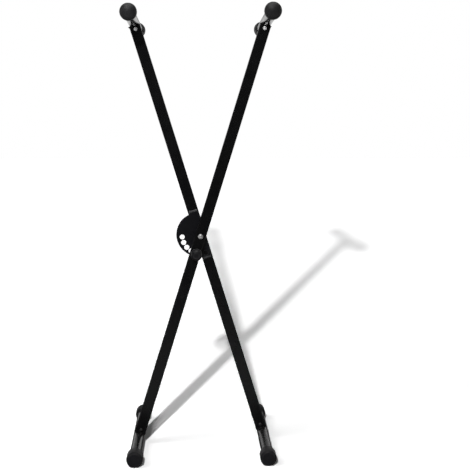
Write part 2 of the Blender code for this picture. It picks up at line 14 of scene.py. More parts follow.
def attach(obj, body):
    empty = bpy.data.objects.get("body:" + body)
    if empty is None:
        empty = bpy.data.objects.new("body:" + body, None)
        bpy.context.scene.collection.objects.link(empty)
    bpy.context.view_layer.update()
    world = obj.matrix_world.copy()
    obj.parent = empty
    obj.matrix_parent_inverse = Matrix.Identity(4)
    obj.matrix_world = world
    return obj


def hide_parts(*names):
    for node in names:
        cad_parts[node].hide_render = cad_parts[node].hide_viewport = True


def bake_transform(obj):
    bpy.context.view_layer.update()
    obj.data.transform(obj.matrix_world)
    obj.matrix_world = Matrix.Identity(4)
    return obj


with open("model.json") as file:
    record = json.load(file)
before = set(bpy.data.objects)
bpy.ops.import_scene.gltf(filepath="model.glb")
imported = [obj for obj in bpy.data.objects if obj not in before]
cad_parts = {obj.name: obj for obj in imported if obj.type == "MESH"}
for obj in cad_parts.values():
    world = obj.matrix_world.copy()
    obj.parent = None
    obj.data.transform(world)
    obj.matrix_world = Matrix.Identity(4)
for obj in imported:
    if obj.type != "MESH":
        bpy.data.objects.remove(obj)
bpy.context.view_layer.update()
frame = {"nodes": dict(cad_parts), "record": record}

# Fits
SEAT = 0.0003
BORE_FIT = 0.0003
PIN_FIT = 0.0004

# Legs
LEG_WIDTH = 0.025
LEG_WALL = 0.0015
LEG_CORNER = 0.0024
LEAN = radians(17.22)
ARM_REACH = 0.509
FOOT_REACH = 0.4915
LEG_END_INSET = 0.0095
LEG_FLARE = 0.0011
LEG_FLARE_LENGTH = 0.005
LEG_RIM_BREAK = 0.0003
LEG_END_ROWS = (LEG_RIM_BREAK, 0.0009, 0.0018, 0.003, 0.0042, 0.006, 0.012)   # depths from a leg's end
LEG_INNER_ROW = 0.006
CORNER_STEPS = 7
SIDE_STEPS = 22
LEG_ROWS = 24
LEG_PLAIN_FROM = 0.03    # the rows between lie this far inside the round tubes' axes
BENT_EAR = 0.0026        # the rear leg's outer ear at the arm is knocked out this far
EAR_FROM = 0.75          # share of the leg's half width from which a side is an ear

# Round tubes
TUBE_DIA = 0.0254
TUBE_WALL = 0.0015
TUBE_END_BREAK = 0.0003
SPREAD = 0.380
END_SCREW_OFFSET = 0.0182

# Rubber caps
CAP_BORE_DEPTH = 0.029
CAP_FLAT = 0.0005
ARM_CAP_DIA = 0.0368
ARM_CAP_MOUTH_DIA = 0.0322
ARM_CAP_CROWN = 0.92     # height of the rounded end as a share of the cap's radius
ARM_CAP_STEPS = 24
ARM_CAP_TAPER = 0.985
ARM_CAP_TAPER_AT = 0.35  # share of the way from the crown to the mouth
FOOT_CAP_DIA = 0.0356
FOOT_CAP_FACE_DIA = 0.0300
FOOT_CAP_SWELL = 0.028   # the rubber bulges by this share beside the flat that it stands on
SWELL_ANGLE = 0.55
SWELL_SPREAD = 0.32
CAP_LENGTH = 0.037
CAP_SEAM = 0.00012
CAP_SEAM_SPREAD = 0.0006
CAP_BORE_MARGIN = 0.0004

# Lock plate
PLATE_THICKNESS = 0.003
PLATE_EDGE = 0.0027
PLATE_ARC_X = -0.0042
PLATE_ARC_Z = 0.0032
TONGUE_HALF_WIDTH = 0.0115
TONGUE_RISE = 0.0055
PLATE_CORNER = 0.003
PLATE_BREAK = 0.0003
PLATE_RIM = 0.0006       # width of the row of faces inside the plate's edge
HOLE_RIM = 0.0005
PLATE_ARC_STEPS = 120
LOCK_RADIUS = 0.0424
LOCK_STEP = radians(17.9)
LOCK_SETTINGS = 5
FOLDED_GAP = 0.002
WELD_LEG = 0.0046
WELD_MARGIN = 0.0015
WELD_STATIONS = 120
WELD_FACETS = 12
WELD_RIPPLES = 10
WELD_RIPPLE_DEPTH = 0.055
WELD_RIPPLE_BOW = 0.022
WELD_END_SHARE = 0.09    # share of the bead's length over which each end rounds off
WELD_WANDER = 0.06
WELD_STRIKE = 0.16       # the bead is this much fatter where the arc was struck
WELD_STRIKE_AT = 0.1
WELD_STRIKE_SPREAD = 0.12
# How strongly the ripple crests take the bright edge tint: a painted highlight on the crests.
WELD_CREST_HIGHLIGHT = 5.0
WELD_CREASE = radians(60)

# Pivot
BOLT_DIA = 0.006
BOLT_HEAD_DIA = 0.0108
BOLT_HEAD_HEIGHT = 0.0034
BOLT_SOCKET = 0.0046
BOLT_SOCKET_DEPTH = 0.0021
BOLT_PITCH = 0.001
BOLT_THREAD_DEPTH = 0.0006
WASHER_DIA = 0.0122
WASHER_THICKNESS = 0.0016
WASHER_BREAK = 0.0004
SPACER_DIA = 0.024
SPACER_THICKNESS = 0.0012
SPACER_BREAK = 0.0003
NUT_ACROSS_FLATS = 0.010
NUT_HEIGHT = 0.005
NUT_COLLAR_DIA = 0.0088
NUT_COLLAR_HEIGHT = 0.0015
BOLT_TAIL = 0.002
BOLT_TIP_CHAMFER = 0.0009
BOLT_TIP_LENGTH = 0.0008
BOLT_THREAD_IN = 0.004   # the thread starts this far inside the rear leg's back face
BOLT_NECK_IN = 0.0045

# Plunger
PLUNGER_OFFSET = 0.003
PIN_DIA = 0.0108
PIN_CHAMFER = 0.0009
PIN_LENGTH = 0.012
PIN_REST_GAP = 0.0003
PIN_IN = 0.0031
STEM_DIA = 0.006
BARREL_DIA = 0.0148
FLANGE_DIA = 0.0260
FLANGE_THICKNESS = 0.0024
BOSS_DIA = 0.0165
BOSS_HEIGHT = 0.0045
BARREL_FRONT_WALL = 0.003
KNOB_DIA = 0.0250
KNOB_NECK_DIA = 0.0150
KNOB_NECK_LENGTH = 0.0035
KNOB_LENGTH = 0.0155
KNOB_BORE_DEPTH = 0.0095
KNOB_SEAM = 0.0001
KNOB_SEAM_SPREAD = 0.001
SPRING_WIRE = 0.0011
SPRING_MEAN_DIA = 0.0083
SPRING_TURNS = 6
SPRING_CLOSED_PITCH = 1.06 * SPRING_WIRE     # the end turns all but touch
SPRING_STEPS = 36
SPRING_FACETS = 12

# End screws
SCREW_DIA = 0.005
SCREW_HEAD_DIA = 0.0084
SCREW_HEAD_HEIGHT = 0.0027
SCREW_SOCKET = 0.0035
SCREW_SOCKET_DEPTH = 0.0016
SCREW_LENGTH = 0.011
SCREW_PITCH = 0.0008
SCREW_THREAD_DEPTH = 0.0004
SCREW_TIP = 0.0007
SCREW_NECK = 0.0012

# Heads and threads
HEAD_RIM = 0.16          # share of a button head's height that is its straight rim
HEAD_BREAK = 0.0003
HEAD_STEPS = 14
SOCKET_SIDES = 6
CUT_CLEAR = 0.001        # a cutter starts this far outside the face that it cuts
THREAD_FLANK = 0.12      # share of the pitch from a crest to its flank

# Mesh making
SHARP_BEND = 0.0008      # a rounded edge up to this radius is rubbed along its whole length
CREASE = radians(28)     # faces that meet more steeply than this stay sharp
LONGEST_BEND = 0.45      # a bend takes up at most this share of the sides beside it
ON_AXIS = 1e-9           # a point of a section nearer to the axis than this lies on it

# Facets round a turned piece
FINE = 144
ROUND = 96
MIDDLE = 80
SMALL = 64

# Places worked out from the sizes above
LEG_GAP = 3 * SEAT + PLATE_THICKNESS + SPACER_THICKNESS
LEG_OFFSET = (LEG_GAP + LEG_WIDTH) / 2
TUBE_RADIUS = TUBE_DIA / 2
SADDLE_RADIUS = TUBE_RADIUS + SEAT
PIVOT_HEIGHT = FOOT_REACH * cos(LEAN) + FOOT_CAP_DIA / 2 - CAP_FLAT
FRONT_FACE = -LEG_GAP / 2 - LEG_WIDTH
FRONT_LEG_BACK = -LEG_GAP / 2
REAR_LEG_FACE = LEG_GAP / 2
REAR_FACE = LEG_GAP / 2 + LEG_WIDTH
PLATE_BACK = REAR_LEG_FACE - SEAT
PLATE_FRONT = PLATE_BACK - PLATE_THICKNESS
SPACER_BACK = PLATE_FRONT - SEAT
SPACER_FRONT = SPACER_BACK - SPACER_THICKNESS
BOLT_HOLE = BOLT_DIA / 2 + BORE_FIT
LOCK_HOLE = PIN_DIA / 2 + PIN_FIT
PLATE_ARC_RADIUS = LOCK_RADIUS + LOCK_HOLE + PLATE_EDGE
TONGUE_DOWN = PLATE_ARC_RADIUS
TONGUE_UP = PLATE_ARC_RADIUS + TONGUE_RISE
PLUNGER_DROP = sqrt(LOCK_RADIUS ** 2 - PLUNGER_OFFSET ** 2)
PLUNGER_ANGLE = asin(PLUNGER_OFFSET / LOCK_RADIUS)
REST_ANGLE = 2 * LEAN
FOLDED_ANGLE = 2 * asin((max(FOOT_CAP_DIA, ARM_CAP_DIA) + FOLDED_GAP) / (2 * FOOT_REACH))
TIP_REST = PLATE_FRONT - PIN_REST_GAP
SHOULDER_REST = TIP_REST - PIN_LENGTH
FLANGE_BACK = FRONT_FACE - SEAT
FLANGE_FRONT = FLANGE_BACK - FLANGE_THICKNESS
BOSS_FRONT = FLANGE_FRONT - BOSS_HEIGHT
SPRING_SEAT = BOSS_FRONT + BARREL_FRONT_WALL
KNOB_BACK = BOSS_FRONT - PIN_IN - SEAT

PIVOT = Matrix.Translation((0.0, 0.0, PIVOT_HEIGHT))
REAR = PIVOT @ Matrix.Rotation(-LEAN, 4, "Y")
FRONT = PIVOT @ Matrix.Rotation(LEAN, 4, "Y")
PLUNGER = FRONT @ Matrix.Translation((PLUNGER_OFFSET, 0.0, -PLUNGER_DROP))
BODY_OF = {node: body for body, nodes in frame["record"]["behaviour"]["bodies"].items() for node in nodes}


# Shader groups

def add(tree, kind, settings=None, values=None):
    """A node with its settings and the values on its unlinked sockets."""
    made = tree.nodes.new(kind)
    for key, setting in (settings or {}).items():
        setattr(made, key, setting)
    for key, value in (values or {}).items():
        made.inputs[key].default_value = value
    return made


def join(tree, source, target):
    """Links one socket to another, or sets it to a plain number."""
    if isinstance(source, (int, float)):
        target.default_value = source
    else:
        tree.links.new(source, target)


def maths(tree, operation, first, second, clamp=False):
    """One sum; each side is a socket or a number."""
    made = add(tree, "ShaderNodeMath", {"operation": operation, "use_clamp": clamp})
    join(tree, first, made.inputs[0])
    join(tree, second, made.inputs[1])
    return made.outputs[0]


def weighted(tree, base, parts):
    """Adds masks to a base value, each times its own weight."""
    for mask, weight in parts:
        base = maths(tree, "ADD", base, maths(tree, "MULTIPLY", mask, weight))
    return base


def ramp(tree, value, low, high, to_low=0.0, to_high=1.0):
    """Carries a value smoothly from one range to another."""
    made = add(tree, "ShaderNodeMapRange", {"interpolation_type": "SMOOTHSTEP"},
               {"To Min": to_low, "To Max": to_high})
    join(tree, value, made.inputs["Value"])
    join(tree, low, made.inputs["From Min"])
    join(tree, high, made.inputs["From Max"])
    return made.outputs["Result"]


def axes(tree, vector):
    """The X, Y and Z of a vector."""
    parts = add(tree, "ShaderNodeSeparateXYZ")
    join(tree, vector, parts.inputs["Vector"])
    return parts.outputs


def blend_colour(tree, amount, first, second):
    """Mixes two colours; each is a socket or an (r, g, b) value."""
    made = add(tree, "ShaderNodeMix", {"data_type": "RGBA"})
    colours = [socket for socket in made.inputs if socket.type == "RGBA"]
    factor = [socket for socket in made.inputs if socket.type == "VALUE"][0]
    join(tree, amount, factor)
    for socket, side in zip(colours, (first, second)):
        if isinstance(side, tuple):
            socket.default_value = (*side, 1.0)
        else:
            join(tree, side, socket)
    return [socket for socket in made.outputs if socket.type == "RGBA"][0]


def tinted(tree, base, layers):
    """Lays tints over a colour; each layer is a mask, its strength and an (r, g, b) value."""
    for mask, strength, tint in layers:
        base = blend_colour(tree, maths(tree, "MULTIPLY", mask, strength), base, tint)
    return base


def new_group(name, inputs, output):
    """A shader group; an input without a value takes a vector, the others and the output are numbers."""
    group = bpy.data.node_groups.new(name, "ShaderNodeTree")
    for label, value in inputs.items():
        kind = "NodeSocketVector" if value is None else "NodeSocketFloat"
        socket = group.interface.new_socket(name=label, in_out="INPUT", socket_type=kind)
        if value is not None:
            socket.default_value = value
    group.interface.new_socket(name=output, in_out="OUTPUT", socket_type="NodeSocketFloat")
    return group, add(group, "NodeGroupInput").outputs, add(group, "NodeGroupOutput").inputs


def pattern(group, given, kind, values=None, settings=None):
    """A texture that takes the group's Vector, and also its Scale unless it has one of its own."""
    made = add(group, kind, settings, values)
    join(group, given["Vector"], made.inputs["Vector"])
    if "Scale" not in (values or {}):
        join(group, given["Scale"], made.inputs["Scale"])
    return made


def make_mottle():
    """Soft cloudy patches between 0 and 1."""
    group, given, result = new_group("mottle", {"Vector": None, "Scale": 20.0, "Low": 0.35, "High": 0.65},
                                     "Amount")
    cloud = pattern(group, given, "ShaderNodeTexNoise", {"Detail": 5.0, "Roughness": 0.6})
    join(group, ramp(group, cloud.outputs["Fac"], given["Low"], given["High"]), result["Amount"])
    return group


def make_streaks():
    """Long fine scratches along the length of a leg or tube, between 0 and 1."""
    group, given, result = new_group("streaks", {"Vector": None, "Across": 900.0, "Along": 25.0,
                                                 "Rarity": 0.66}, "Amount")
    stretch = add(group, "ShaderNodeCombineXYZ")
    for axis, label in (("X", "Across"), ("Y", "Across"), ("Z", "Along")):
        join(group, given[label], stretch.inputs[axis])
    scaled = add(group, "ShaderNodeVectorMath", {"operation": "MULTIPLY"})
    join(group, given["Vector"], scaled.inputs[0])
    join(group, stretch.outputs["Vector"], scaled.inputs[1])
    lines = add(group, "ShaderNodeTexNoise", None, {"Scale": 1.0, "Detail": 3.0, "Roughness": 0.55})
    join(group, scaled.outputs["Vector"], lines.inputs["Vector"])
    join(group, ramp(group, lines.outputs["Fac"], given["Rarity"], 0.85), result["Amount"])
    return group


def make_rubbed_edge():
    """Where an edge is rubbed: the edge mask broken up by noise."""
    group, given, result = new_group("rubbed_edge", {"Vector": None, "Scale": 400.0, "Depth": 0.5}, "Amount")
    edge = add(group, "ShaderNodeAttribute", {"attribute_name": "edge"})
    cloud = pattern(group, given, "ShaderNodeTexNoise", {"Detail": 4.0, "Roughness": 0.65})
    kept = maths(group, "SUBTRACT", 1.4, maths(group, "ADD", cloud.outputs["Fac"], given["Depth"]))
    broken = maths(group, "SUBTRACT", edge.outputs["Fac"], kept)
    join(group, ramp(group, broken, 0.0, 0.25), result["Amount"])
    return group


def make_settled_dust():
    """Dust that lies on the faces that point up, thicker in patches."""
    group, given, result = new_group("settled_dust", {"Vector": None, "Normal": None, "Scale": 60.0},
                                     "Amount")
    upward = ramp(group, axes(group, given["Normal"])["Z"], 0.15, 1.0)
    patches = pattern(group, given, "ShaderNodeTexNoise", {"Detail": 6.0, "Roughness": 0.7})
    specks = pattern(group, given, "ShaderNodeTexVoronoi", {"Scale": 1400.0})
    motes = maths(group, "MULTIPLY", ramp(group, specks.outputs["Distance"], 0.30, 0.12), 0.5)
    film = maths(group, "ADD", ramp(group, patches.outputs["Fac"], 0.35, 0.75), motes, clamp=True)
    join(group, maths(group, "MULTIPLY", upward, film), result["Amount"])
    return group


def make_orange_peel():
    """The fine waves in a baked powder coat, as a height."""
    group, given, result = new_group("orange_peel", {"Vector": None, "Scale": 500.0}, "Height")
    waves = pattern(group, given, "ShaderNodeTexNoise", {"Detail": 1.5, "Roughness": 0.4})
    cells = pattern(group, given, "ShaderNodeTexVoronoi", {"Smoothness": 1.0}, {"feature": "SMOOTH_F1"})
    join(group, weighted(group, waves.outputs["Fac"], [(cells.outputs["Distance"], 0.5)]), result["Height"])
    return group


def make_moulded_grain():
    """Fine pitted grain of a moulded or plated part, as a height."""
    group, given, result = new_group("moulded_grain", {"Vector": None, "Scale": 1500.0}, "Height")
    grain = pattern(group, given, "ShaderNodeTexNoise", {"Detail": 3.0, "Roughness": 0.7})
    pits = pattern(group, given, "ShaderNodeTexVoronoi")
    hollow = ramp(group, pits.outputs["Distance"], 0.0, 0.4)
    join(group, weighted(group, grain.outputs["Fac"], [(hollow, 0.6)]), result["Height"])
    return group


GROUPS = {group.name: group for group in (make_mottle(), make_streaks(), make_rubbed_edge(),
                                          make_settled_dust(), make_orange_peel(), make_moulded_grain())}


# Finishes

def start_material(name):
    """A material with its node tree and shader, and the piece's own coordinates and normals."""
    material = bpy.data.materials.new(name)
    material.use_nodes = True
    tree = material.node_tree
    place = add(tree, "ShaderNodeTexCoord")
    return material, tree, tree.nodes["Principled BSDF"], place.outputs["Object"], place.outputs["Normal"]


def use_group(tree, name, vector, normal=None, **values):
    """Places a shader group with its own values and gives back what it puts out."""
    made = add(tree, "ShaderNodeGroup", {"node_tree": GROUPS[name]}, values)
    join(tree, vector, made.inputs["Vector"])
    if normal is not None:
        join(tree, normal, made.inputs["Normal"])
    return made.outputs[0]


def surface(tree, shader, colour, roughness, height, depth):
    """Gives a shader its colour, its roughness and a relief of the given depth."""
    join(tree, colour, shader.inputs["Base Color"])
    join(tree, roughness, shader.inputs["Roughness"])
    relief = add(tree, "ShaderNodeBump", None, {"Distance": depth, "Strength": 1.0})
    join(tree, height, relief.inputs["Height"])
    join(tree, relief.outputs["Normal"], shader.inputs["Normal"])


def powder_coat(name, deep, lifted, gloss, peel, worn=(0.045, 0.045, 0.046), specular=0.5):
    """Black powder coat: orange peel, rub marks, a little dust and thin edges (on the weld's ripple crests, a
    painted highlight).
    """
    material, tree, shader, vector, normal = start_material(name)
    shader.inputs["Specular IOR Level"].default_value = specular
    patches = use_group(tree, "mottle", vector, Scale=38.0, Low=0.3, High=0.7)
    hands = use_group(tree, "mottle", vector, Scale=9.0, Low=0.42, High=0.62)
    scratches = use_group(tree, "streaks", vector, Across=700.0, Along=14.0, Rarity=0.68)
    dust = use_group(tree, "settled_dust", vector, normal, Scale=70.0)
    rubbed = use_group(tree, "rubbed_edge", vector, Scale=520.0, Depth=0.28)
    colour = tinted(tree, blend_colour(tree, patches, deep, lifted),
                    [(dust, 0.10, (0.16, 0.155, 0.145)), (rubbed, 0.7, worn)])
    rough = weighted(tree, gloss, [(patches, 0.05), (hands, 0.06), (scratches, 0.18), (dust, 0.12),
                                   (rubbed, 0.2)])
    waves = use_group(tree, "orange_peel", vector, Scale=420.0)
    surface(tree, shader, colour, rough, weighted(tree, waves, [(scratches, -0.5)]), peel)
    return material


def cap_rubber(name, plain, scuffed, gloss, grain, specular):
    """Moulded rubber: pitted grain, rub marks on the edges and dust on top."""
    material, tree, shader, vector, normal = start_material(name)
    shader.inputs["Specular IOR Level"].default_value = specular
    patches = use_group(tree, "mottle", vector, Scale=90.0, Low=0.3, High=0.7)
    smears = use_group(tree, "mottle", vector, Scale=26.0, Low=0.45, High=0.6)
    rubbed = use_group(tree, "rubbed_edge", vector, Scale=260.0, Depth=0.42)
    dust = use_group(tree, "settled_dust", vector, normal, Scale=120.0)
    lifted = tuple(1.35 * part for part in plain)
    colour = tinted(tree, blend_colour(tree, patches, plain, lifted),
                    [(rubbed, 0.6, scuffed), (dust, 0.08, (0.25, 0.24, 0.225))])
    rough = weighted(tree, gloss, [(patches, 0.08), (smears, -0.07), (dust, 0.15)])
    surface(tree, shader, colour, rough, use_group(tree, "moulded_grain", vector, Scale=1300.0), grain)
    return material


def zinc_plate(name, bright, dull, grain, metallic, worn=(0.78, 0.78, 0.78)):
    """Plated steel: fine grain, clouded passivation, dull spots and bright rubbed edges."""
    material, tree, shader, vector = start_material(name)[:4]
    shader.inputs["Metallic"].default_value = metallic
    clouds = use_group(tree, "mottle", vector, Scale=240.0, Low=0.3, High=0.7)
    spots = use_group(tree, "mottle", vector, Scale=900.0, Low=0.58, High=0.72)
    rubbed = use_group(tree, "rubbed_edge", vector, Scale=800.0, Depth=0.6)
    colour = tinted(tree, blend_colour(tree, clouds, bright, dull),
                    [(spots, 0.35, (0.30, 0.27, 0.22)), (rubbed, 0.5, worn)])
    rough = weighted(tree, 0.22, [(clouds, 0.14), (spots, 0.2)])
    surface(tree, shader, colour, rough, use_group(tree, "moulded_grain", vector, Scale=2600.0), grain)
    return material


def moulded_plastic(name, plain, gloss, grain):
    """Black moulded plastic: spark-eroded grain, handling shine and rubbed edges."""
    material, tree, shader, vector, normal = start_material(name)
    patches = use_group(tree, "mottle", vector, Scale=150.0, Low=0.3, High=0.7)
    handled = use_group(tree, "mottle", vector, Scale=45.0, Low=0.45, High=0.65)
    rubbed = use_group(tree, "rubbed_edge", vector, Scale=500.0, Depth=0.35)
    dust = use_group(tree, "settled_dust", vector, normal, Scale=160.0)
    lifted = tuple(1.3 * part for part in plain)
    colour = tinted(tree, blend_colour(tree, patches, plain, lifted),
                    [(rubbed, 0.5, (0.055, 0.055, 0.058)), (dust, 0.08, (0.22, 0.21, 0.2))])
    rough = weighted(tree, gloss, [(patches, 0.06), (handled, -0.09)])
    surface(tree, shader, colour, rough, use_group(tree, "moulded_grain", vector, Scale=1900.0), grain)
    return material


LEG_PAINT = powder_coat("leg_powder_coat", (0.0018, 0.0018, 0.0020), (0.0027, 0.0027, 0.0029), 0.20,
                        0.00002, worn=(0.018, 0.018, 0.019), specular=0.36)
TUBE_PAINT = powder_coat("tube_powder_coat", (0.0045, 0.0045, 0.0048), (0.0062, 0.0062, 0.0066), 0.15,
                         0.000014, specular=0.42)
# The stubs show only inside the legs' open ends: their coat is darker than the legs', painted shade in that
# recess, and rougher.
STUB_COAT_PAINTED_SHADE = powder_coat("stub_coat_painted_shade", (0.0016, 0.0016, 0.0017), (0.0022, 0.0022, 0.0023), 0.48,
                         0.000012)
PLATE_PAINT = powder_coat("plate_powder_coat", (0.0030, 0.0030, 0.0040), (0.0040, 0.0040, 0.0052), 0.26,
                          0.00002)
# The weld bead has the same black coat as the plate; its colour lifted far above the plate's and the bright
# tint on its crests are a painted highlight.
WELD_COAT_PAINTED_HIGHLIGHT = powder_coat("weld_coat_painted_highlight", (0.020, 0.020, 0.021), (0.055, 0.055, 0.057), 0.20, 0.00002,
                         worn=(0.22, 0.22, 0.22))
ARM_RUBBER = cap_rubber("arm_cap_rubber", (0.008, 0.008, 0.0085), (0.03, 0.03, 0.031), 0.52, 0.00006, 0.42)
FOOT_RUBBER = cap_rubber("foot_cap_rubber", (0.0065, 0.0065, 0.0075), (0.03, 0.029, 0.028), 0.44, 0.00008,
                         0.13)
ARM_SCREW_ZINC = zinc_plate("arm_screw_zinc", (0.68, 0.69, 0.71), (0.54, 0.54, 0.53), 0.000006, 0.45)
# The foot screws are the same plated screws as the arm screws; their far darker colour is painted shade.
FOOT_SCREW_ZINC_PAINTED_SHADE = zinc_plate("foot_screw_zinc_painted_shade", (0.085, 0.085, 0.085), (0.055, 0.055, 0.055), 0.000008, 0.95,
                             worn=(0.32, 0.32, 0.32))
BOLT_ZINC = zinc_plate("bolt_zinc", (0.64, 0.65, 0.66), (0.50, 0.49, 0.46), 0.000008, 0.68)
WASHER_ZINC = zinc_plate("washer_zinc", (0.16, 0.16, 0.165), (0.10, 0.10, 0.10), 0.000008, 0.9)
SPRING_STEEL = zinc_plate("spring_steel", (0.42, 0.42, 0.43), (0.30, 0.30, 0.30), 0.000004, 1.0)
KNOB_PLASTIC = moulded_plastic("knob_plastic", (0.0035, 0.0035, 0.0042), 0.38, 0.00003)
SPACER_PLASTIC = moulded_plastic("spacer_plastic", (0.014, 0.014, 0.015), 0.50, 0.00003)


# Mesh making

def mesh_from(bm, name):
    """Writes a form in the making to a new mesh."""
    mesh = bpy.data.meshes.new(name)
    bm.to_mesh(mesh)
    bm.free()
    return mesh


def in_scene(name, data):
    """A new object, linked into the scene."""
    made = bpy.data.objects.new(name, data)
    bpy.context.scene.collection.objects.link(made)
    return made


def finish_mesh(bm, name, material, crease=CREASE):
    """Turns a closed form's faces outwards and makes it a smooth mesh with sharp creases."""
    bmesh.ops.recalc_face_normals(bm, faces=bm.faces[:])
    if bm.calc_volume(signed=True) < 0:
        bmesh.ops.reverse_faces(bm, faces=bm.faces[:])
    mesh = mesh_from(bm, name)
    mesh.shade_smooth()
    mesh.set_sharp_from_angle(angle=crease)
    mesh.materials.append(material)
    return mesh


def set_edges(mesh, values):
    """Stores how near each point is to an edge, for the rubbed finish; on the weld bead it marks the ripple
    crests for a painted highlight.
    """
    attribute = mesh.attributes.new("edge", "FLOAT", "POINT")
    attribute.data.foreach_set("value", values)


def dress(node, mesh, matrix):
    """Hangs a finished mesh in the place of its CAD node, on the same body."""
    mesh.transform(matrix)
    piece = in_scene(node + "_dressed", mesh)
    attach(piece, BODY_OF[node])
    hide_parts(node)


def repaint(node, material):
    """Gives a CAD node that keeps its own mesh a better material."""
    slots = frame["nodes"][node].data.materials
    slots.clear()
    slots.append(material)


def rounded(corners, closed=False, steps=5, support=0.0006):
    """Rounds the corners of a section: (radius, y, bend) triples become (radius, y, edge) triples.

    A support point beside each bend keeps the shading of the faces between them flat.
    """
    result = []
    count = len(corners)
    for i, (across, along, bend) in enumerate(corners):
        if bend == 0.0 or (not closed and i in (0, count - 1)):
            result.append((across, along, 0.0))
            continue
        here = Vector((across, along))
        before = Vector(corners[i - 1][:2]) - here
        after = Vector(corners[(i + 1) % count][:2]) - here
        back = before.normalized()
        on = after.normalized()
        half = before.angle(after) / 2
        reach = min(bend / tan(half), LONGEST_BEND * before.length, LONGEST_BEND * after.length)
        middle = here + (back + on).normalized() * reach / cos(half)
        start = here + back * reach - middle
        sweep = (pi - 2 * half) * (1.0 if before.cross(after) < 0 else -1.0)
        if before.length / 2 > reach + support:
            result.append((*(here + back * (reach + support)), 0.0))
        for k in range(steps + 1):
            turn = sweep * k / steps
            spot = Vector((start.x * cos(turn) - start.y * sin(turn),
                           start.x * sin(turn) + start.y * cos(turn)))
            result.append((*(middle + spot), min(1.0, SHARP_BEND / bend)))
        if after.length / 2 > reach + support:
            result.append((*(here + on * (reach + support)), 0.0))
    return result


def bridge(bm, ring_a, ring_b):
    """Joins two rings of points with faces; one of them may be a single point."""
    count = max(len(ring_a), len(ring_b))
    for i in range(count):
        j = (i + 1) % count
        if len(ring_a) == 1:
            bm.faces.new((ring_a[0], ring_b[j], ring_b[i]))
        elif len(ring_b) == 1:
            bm.faces.new((ring_a[i], ring_a[j], ring_b[0]))
        else:
            bm.faces.new((ring_a[i], ring_a[j], ring_b[j], ring_b[i]))


def loft(bm, rings, ends="open"):
    """Joins a row of rings; its ends are left open, meet each other or are capped."""
    for ring_a, ring_b in zip(rings, rings[1:]):
        bridge(bm, ring_a, ring_b)
    if ends == "meet":
        bridge(bm, rings[-1], rings[0])
    elif ends == "capped":
        bm.faces.new(rings[0])
        bm.faces.new(rings[-1])


def turned(name, section, facets, material, closed=False, shape=None):
    """Turns a section about the Y axis; shape(angle, radius, y) may move each point outwards."""
    bm = bmesh.new()
    rings = []
    edges = []
    for radius, y, edge in section:
        if radius < ON_AXIS:
            rings.append([bm.verts.new((0.0, y, 0.0))])
            edges.append(edge)
            continue
        ring = []
        for k in range(facets):
            angle = 2 * pi * (k + 0.5) / facets
            reach = shape(angle, radius, y) if shape else radius
            ring.append(bm.verts.new((reach * cos(angle), y, reach * sin(angle))))
            edges.append(edge)
        rings.append(ring)
    loft(bm, rings, "meet" if closed else "open")
    mesh = finish_mesh(bm, name, material)
    set_edges(mesh, edges)
    return mesh


def moulding_seam(angle, height, spread):
    """Height of the fine line that the two halves of a mould leave down each side of a piece."""
    return height * exp(-((abs(cos(angle)) - 1) / spread) ** 2)


def bar(bm, radius, y_a, y_b, x, z, facets, twist=0.5):
    """A closed round or cornered bar along Y."""
    angles = [2 * pi * (k + twist) / facets for k in range(facets)]
    loft(bm, [[bm.verts.new((x + radius * cos(a), y, z + radius * sin(a))) for a in angles]
              for y in (y_a, y_b)], "capped")


def cut_mesh(mesh, bars):
    """Cuts closed bars out of a mesh; each bar is a tuple for bar()."""
    bm = bmesh.new()
    for values in bars:
        bar(bm, *values)
    bmesh.ops.recalc_face_normals(bm, faces=bm.faces[:])
    cutter = in_scene("cutter", mesh_from(bm, "cutter"))
    body = in_scene("body", mesh)
    step = body.modifiers.new("cut", "BOOLEAN")
    step.operation = "DIFFERENCE"
    step.solver = "EXACT"
    step.object = cutter
    bpy.context.view_layer.update()
    ready = body.evaluated_get(bpy.context.evaluated_depsgraph_get())
    result = bpy.data.meshes.new_from_object(ready)
    bpy.data.objects.remove(cutter)
    bpy.data.objects.remove(body)
    result.name = mesh.name
    result.shade_smooth()
    result.set_sharp_from_angle(angle=CREASE)
    return result


# Legs and tubes

def square_ring(side, corner):
    """Points round a square with round corners."""
    reach = side / 2 - corner
    points = []
    for quarter in range(4):
        centre_x = reach if quarter in (0, 3) else -reach
        centre_y = reach if quarter in (0, 1) else -reach
        for k in range(CORNER_STEPS + 1):
            angle = (quarter + k / CORNER_STEPS) * pi / 2
            points.append((centre_x + corner * cos(angle), centre_y + corner * sin(angle)))
        following = (quarter + 1) % 4
        next_x = reach if following in (0, 3) else -reach
        next_y = reach if following in (0, 1) else -reach
        angle = (quarter + 1) * pi / 2
        start = points[-1]
        end = (next_x + corner * cos(angle), next_y + corner * sin(angle))
        for k in range(1, SIDE_STEPS):
            points.append((start[0] + (end[0] - start[0]) * k / SIDE_STEPS,
                           start[1] + (end[1] - start[1]) * k / SIDE_STEPS))
    return points


def leg_end(x, way, reach, depth):
    """Height of the leg's saddled end at x, drawn back by depth."""
    scoop = sqrt(max(SADDLE_RADIUS ** 2 - x ** 2, 0.0))
    return way * (reach - max(LEG_END_INSET, scoop) - depth)


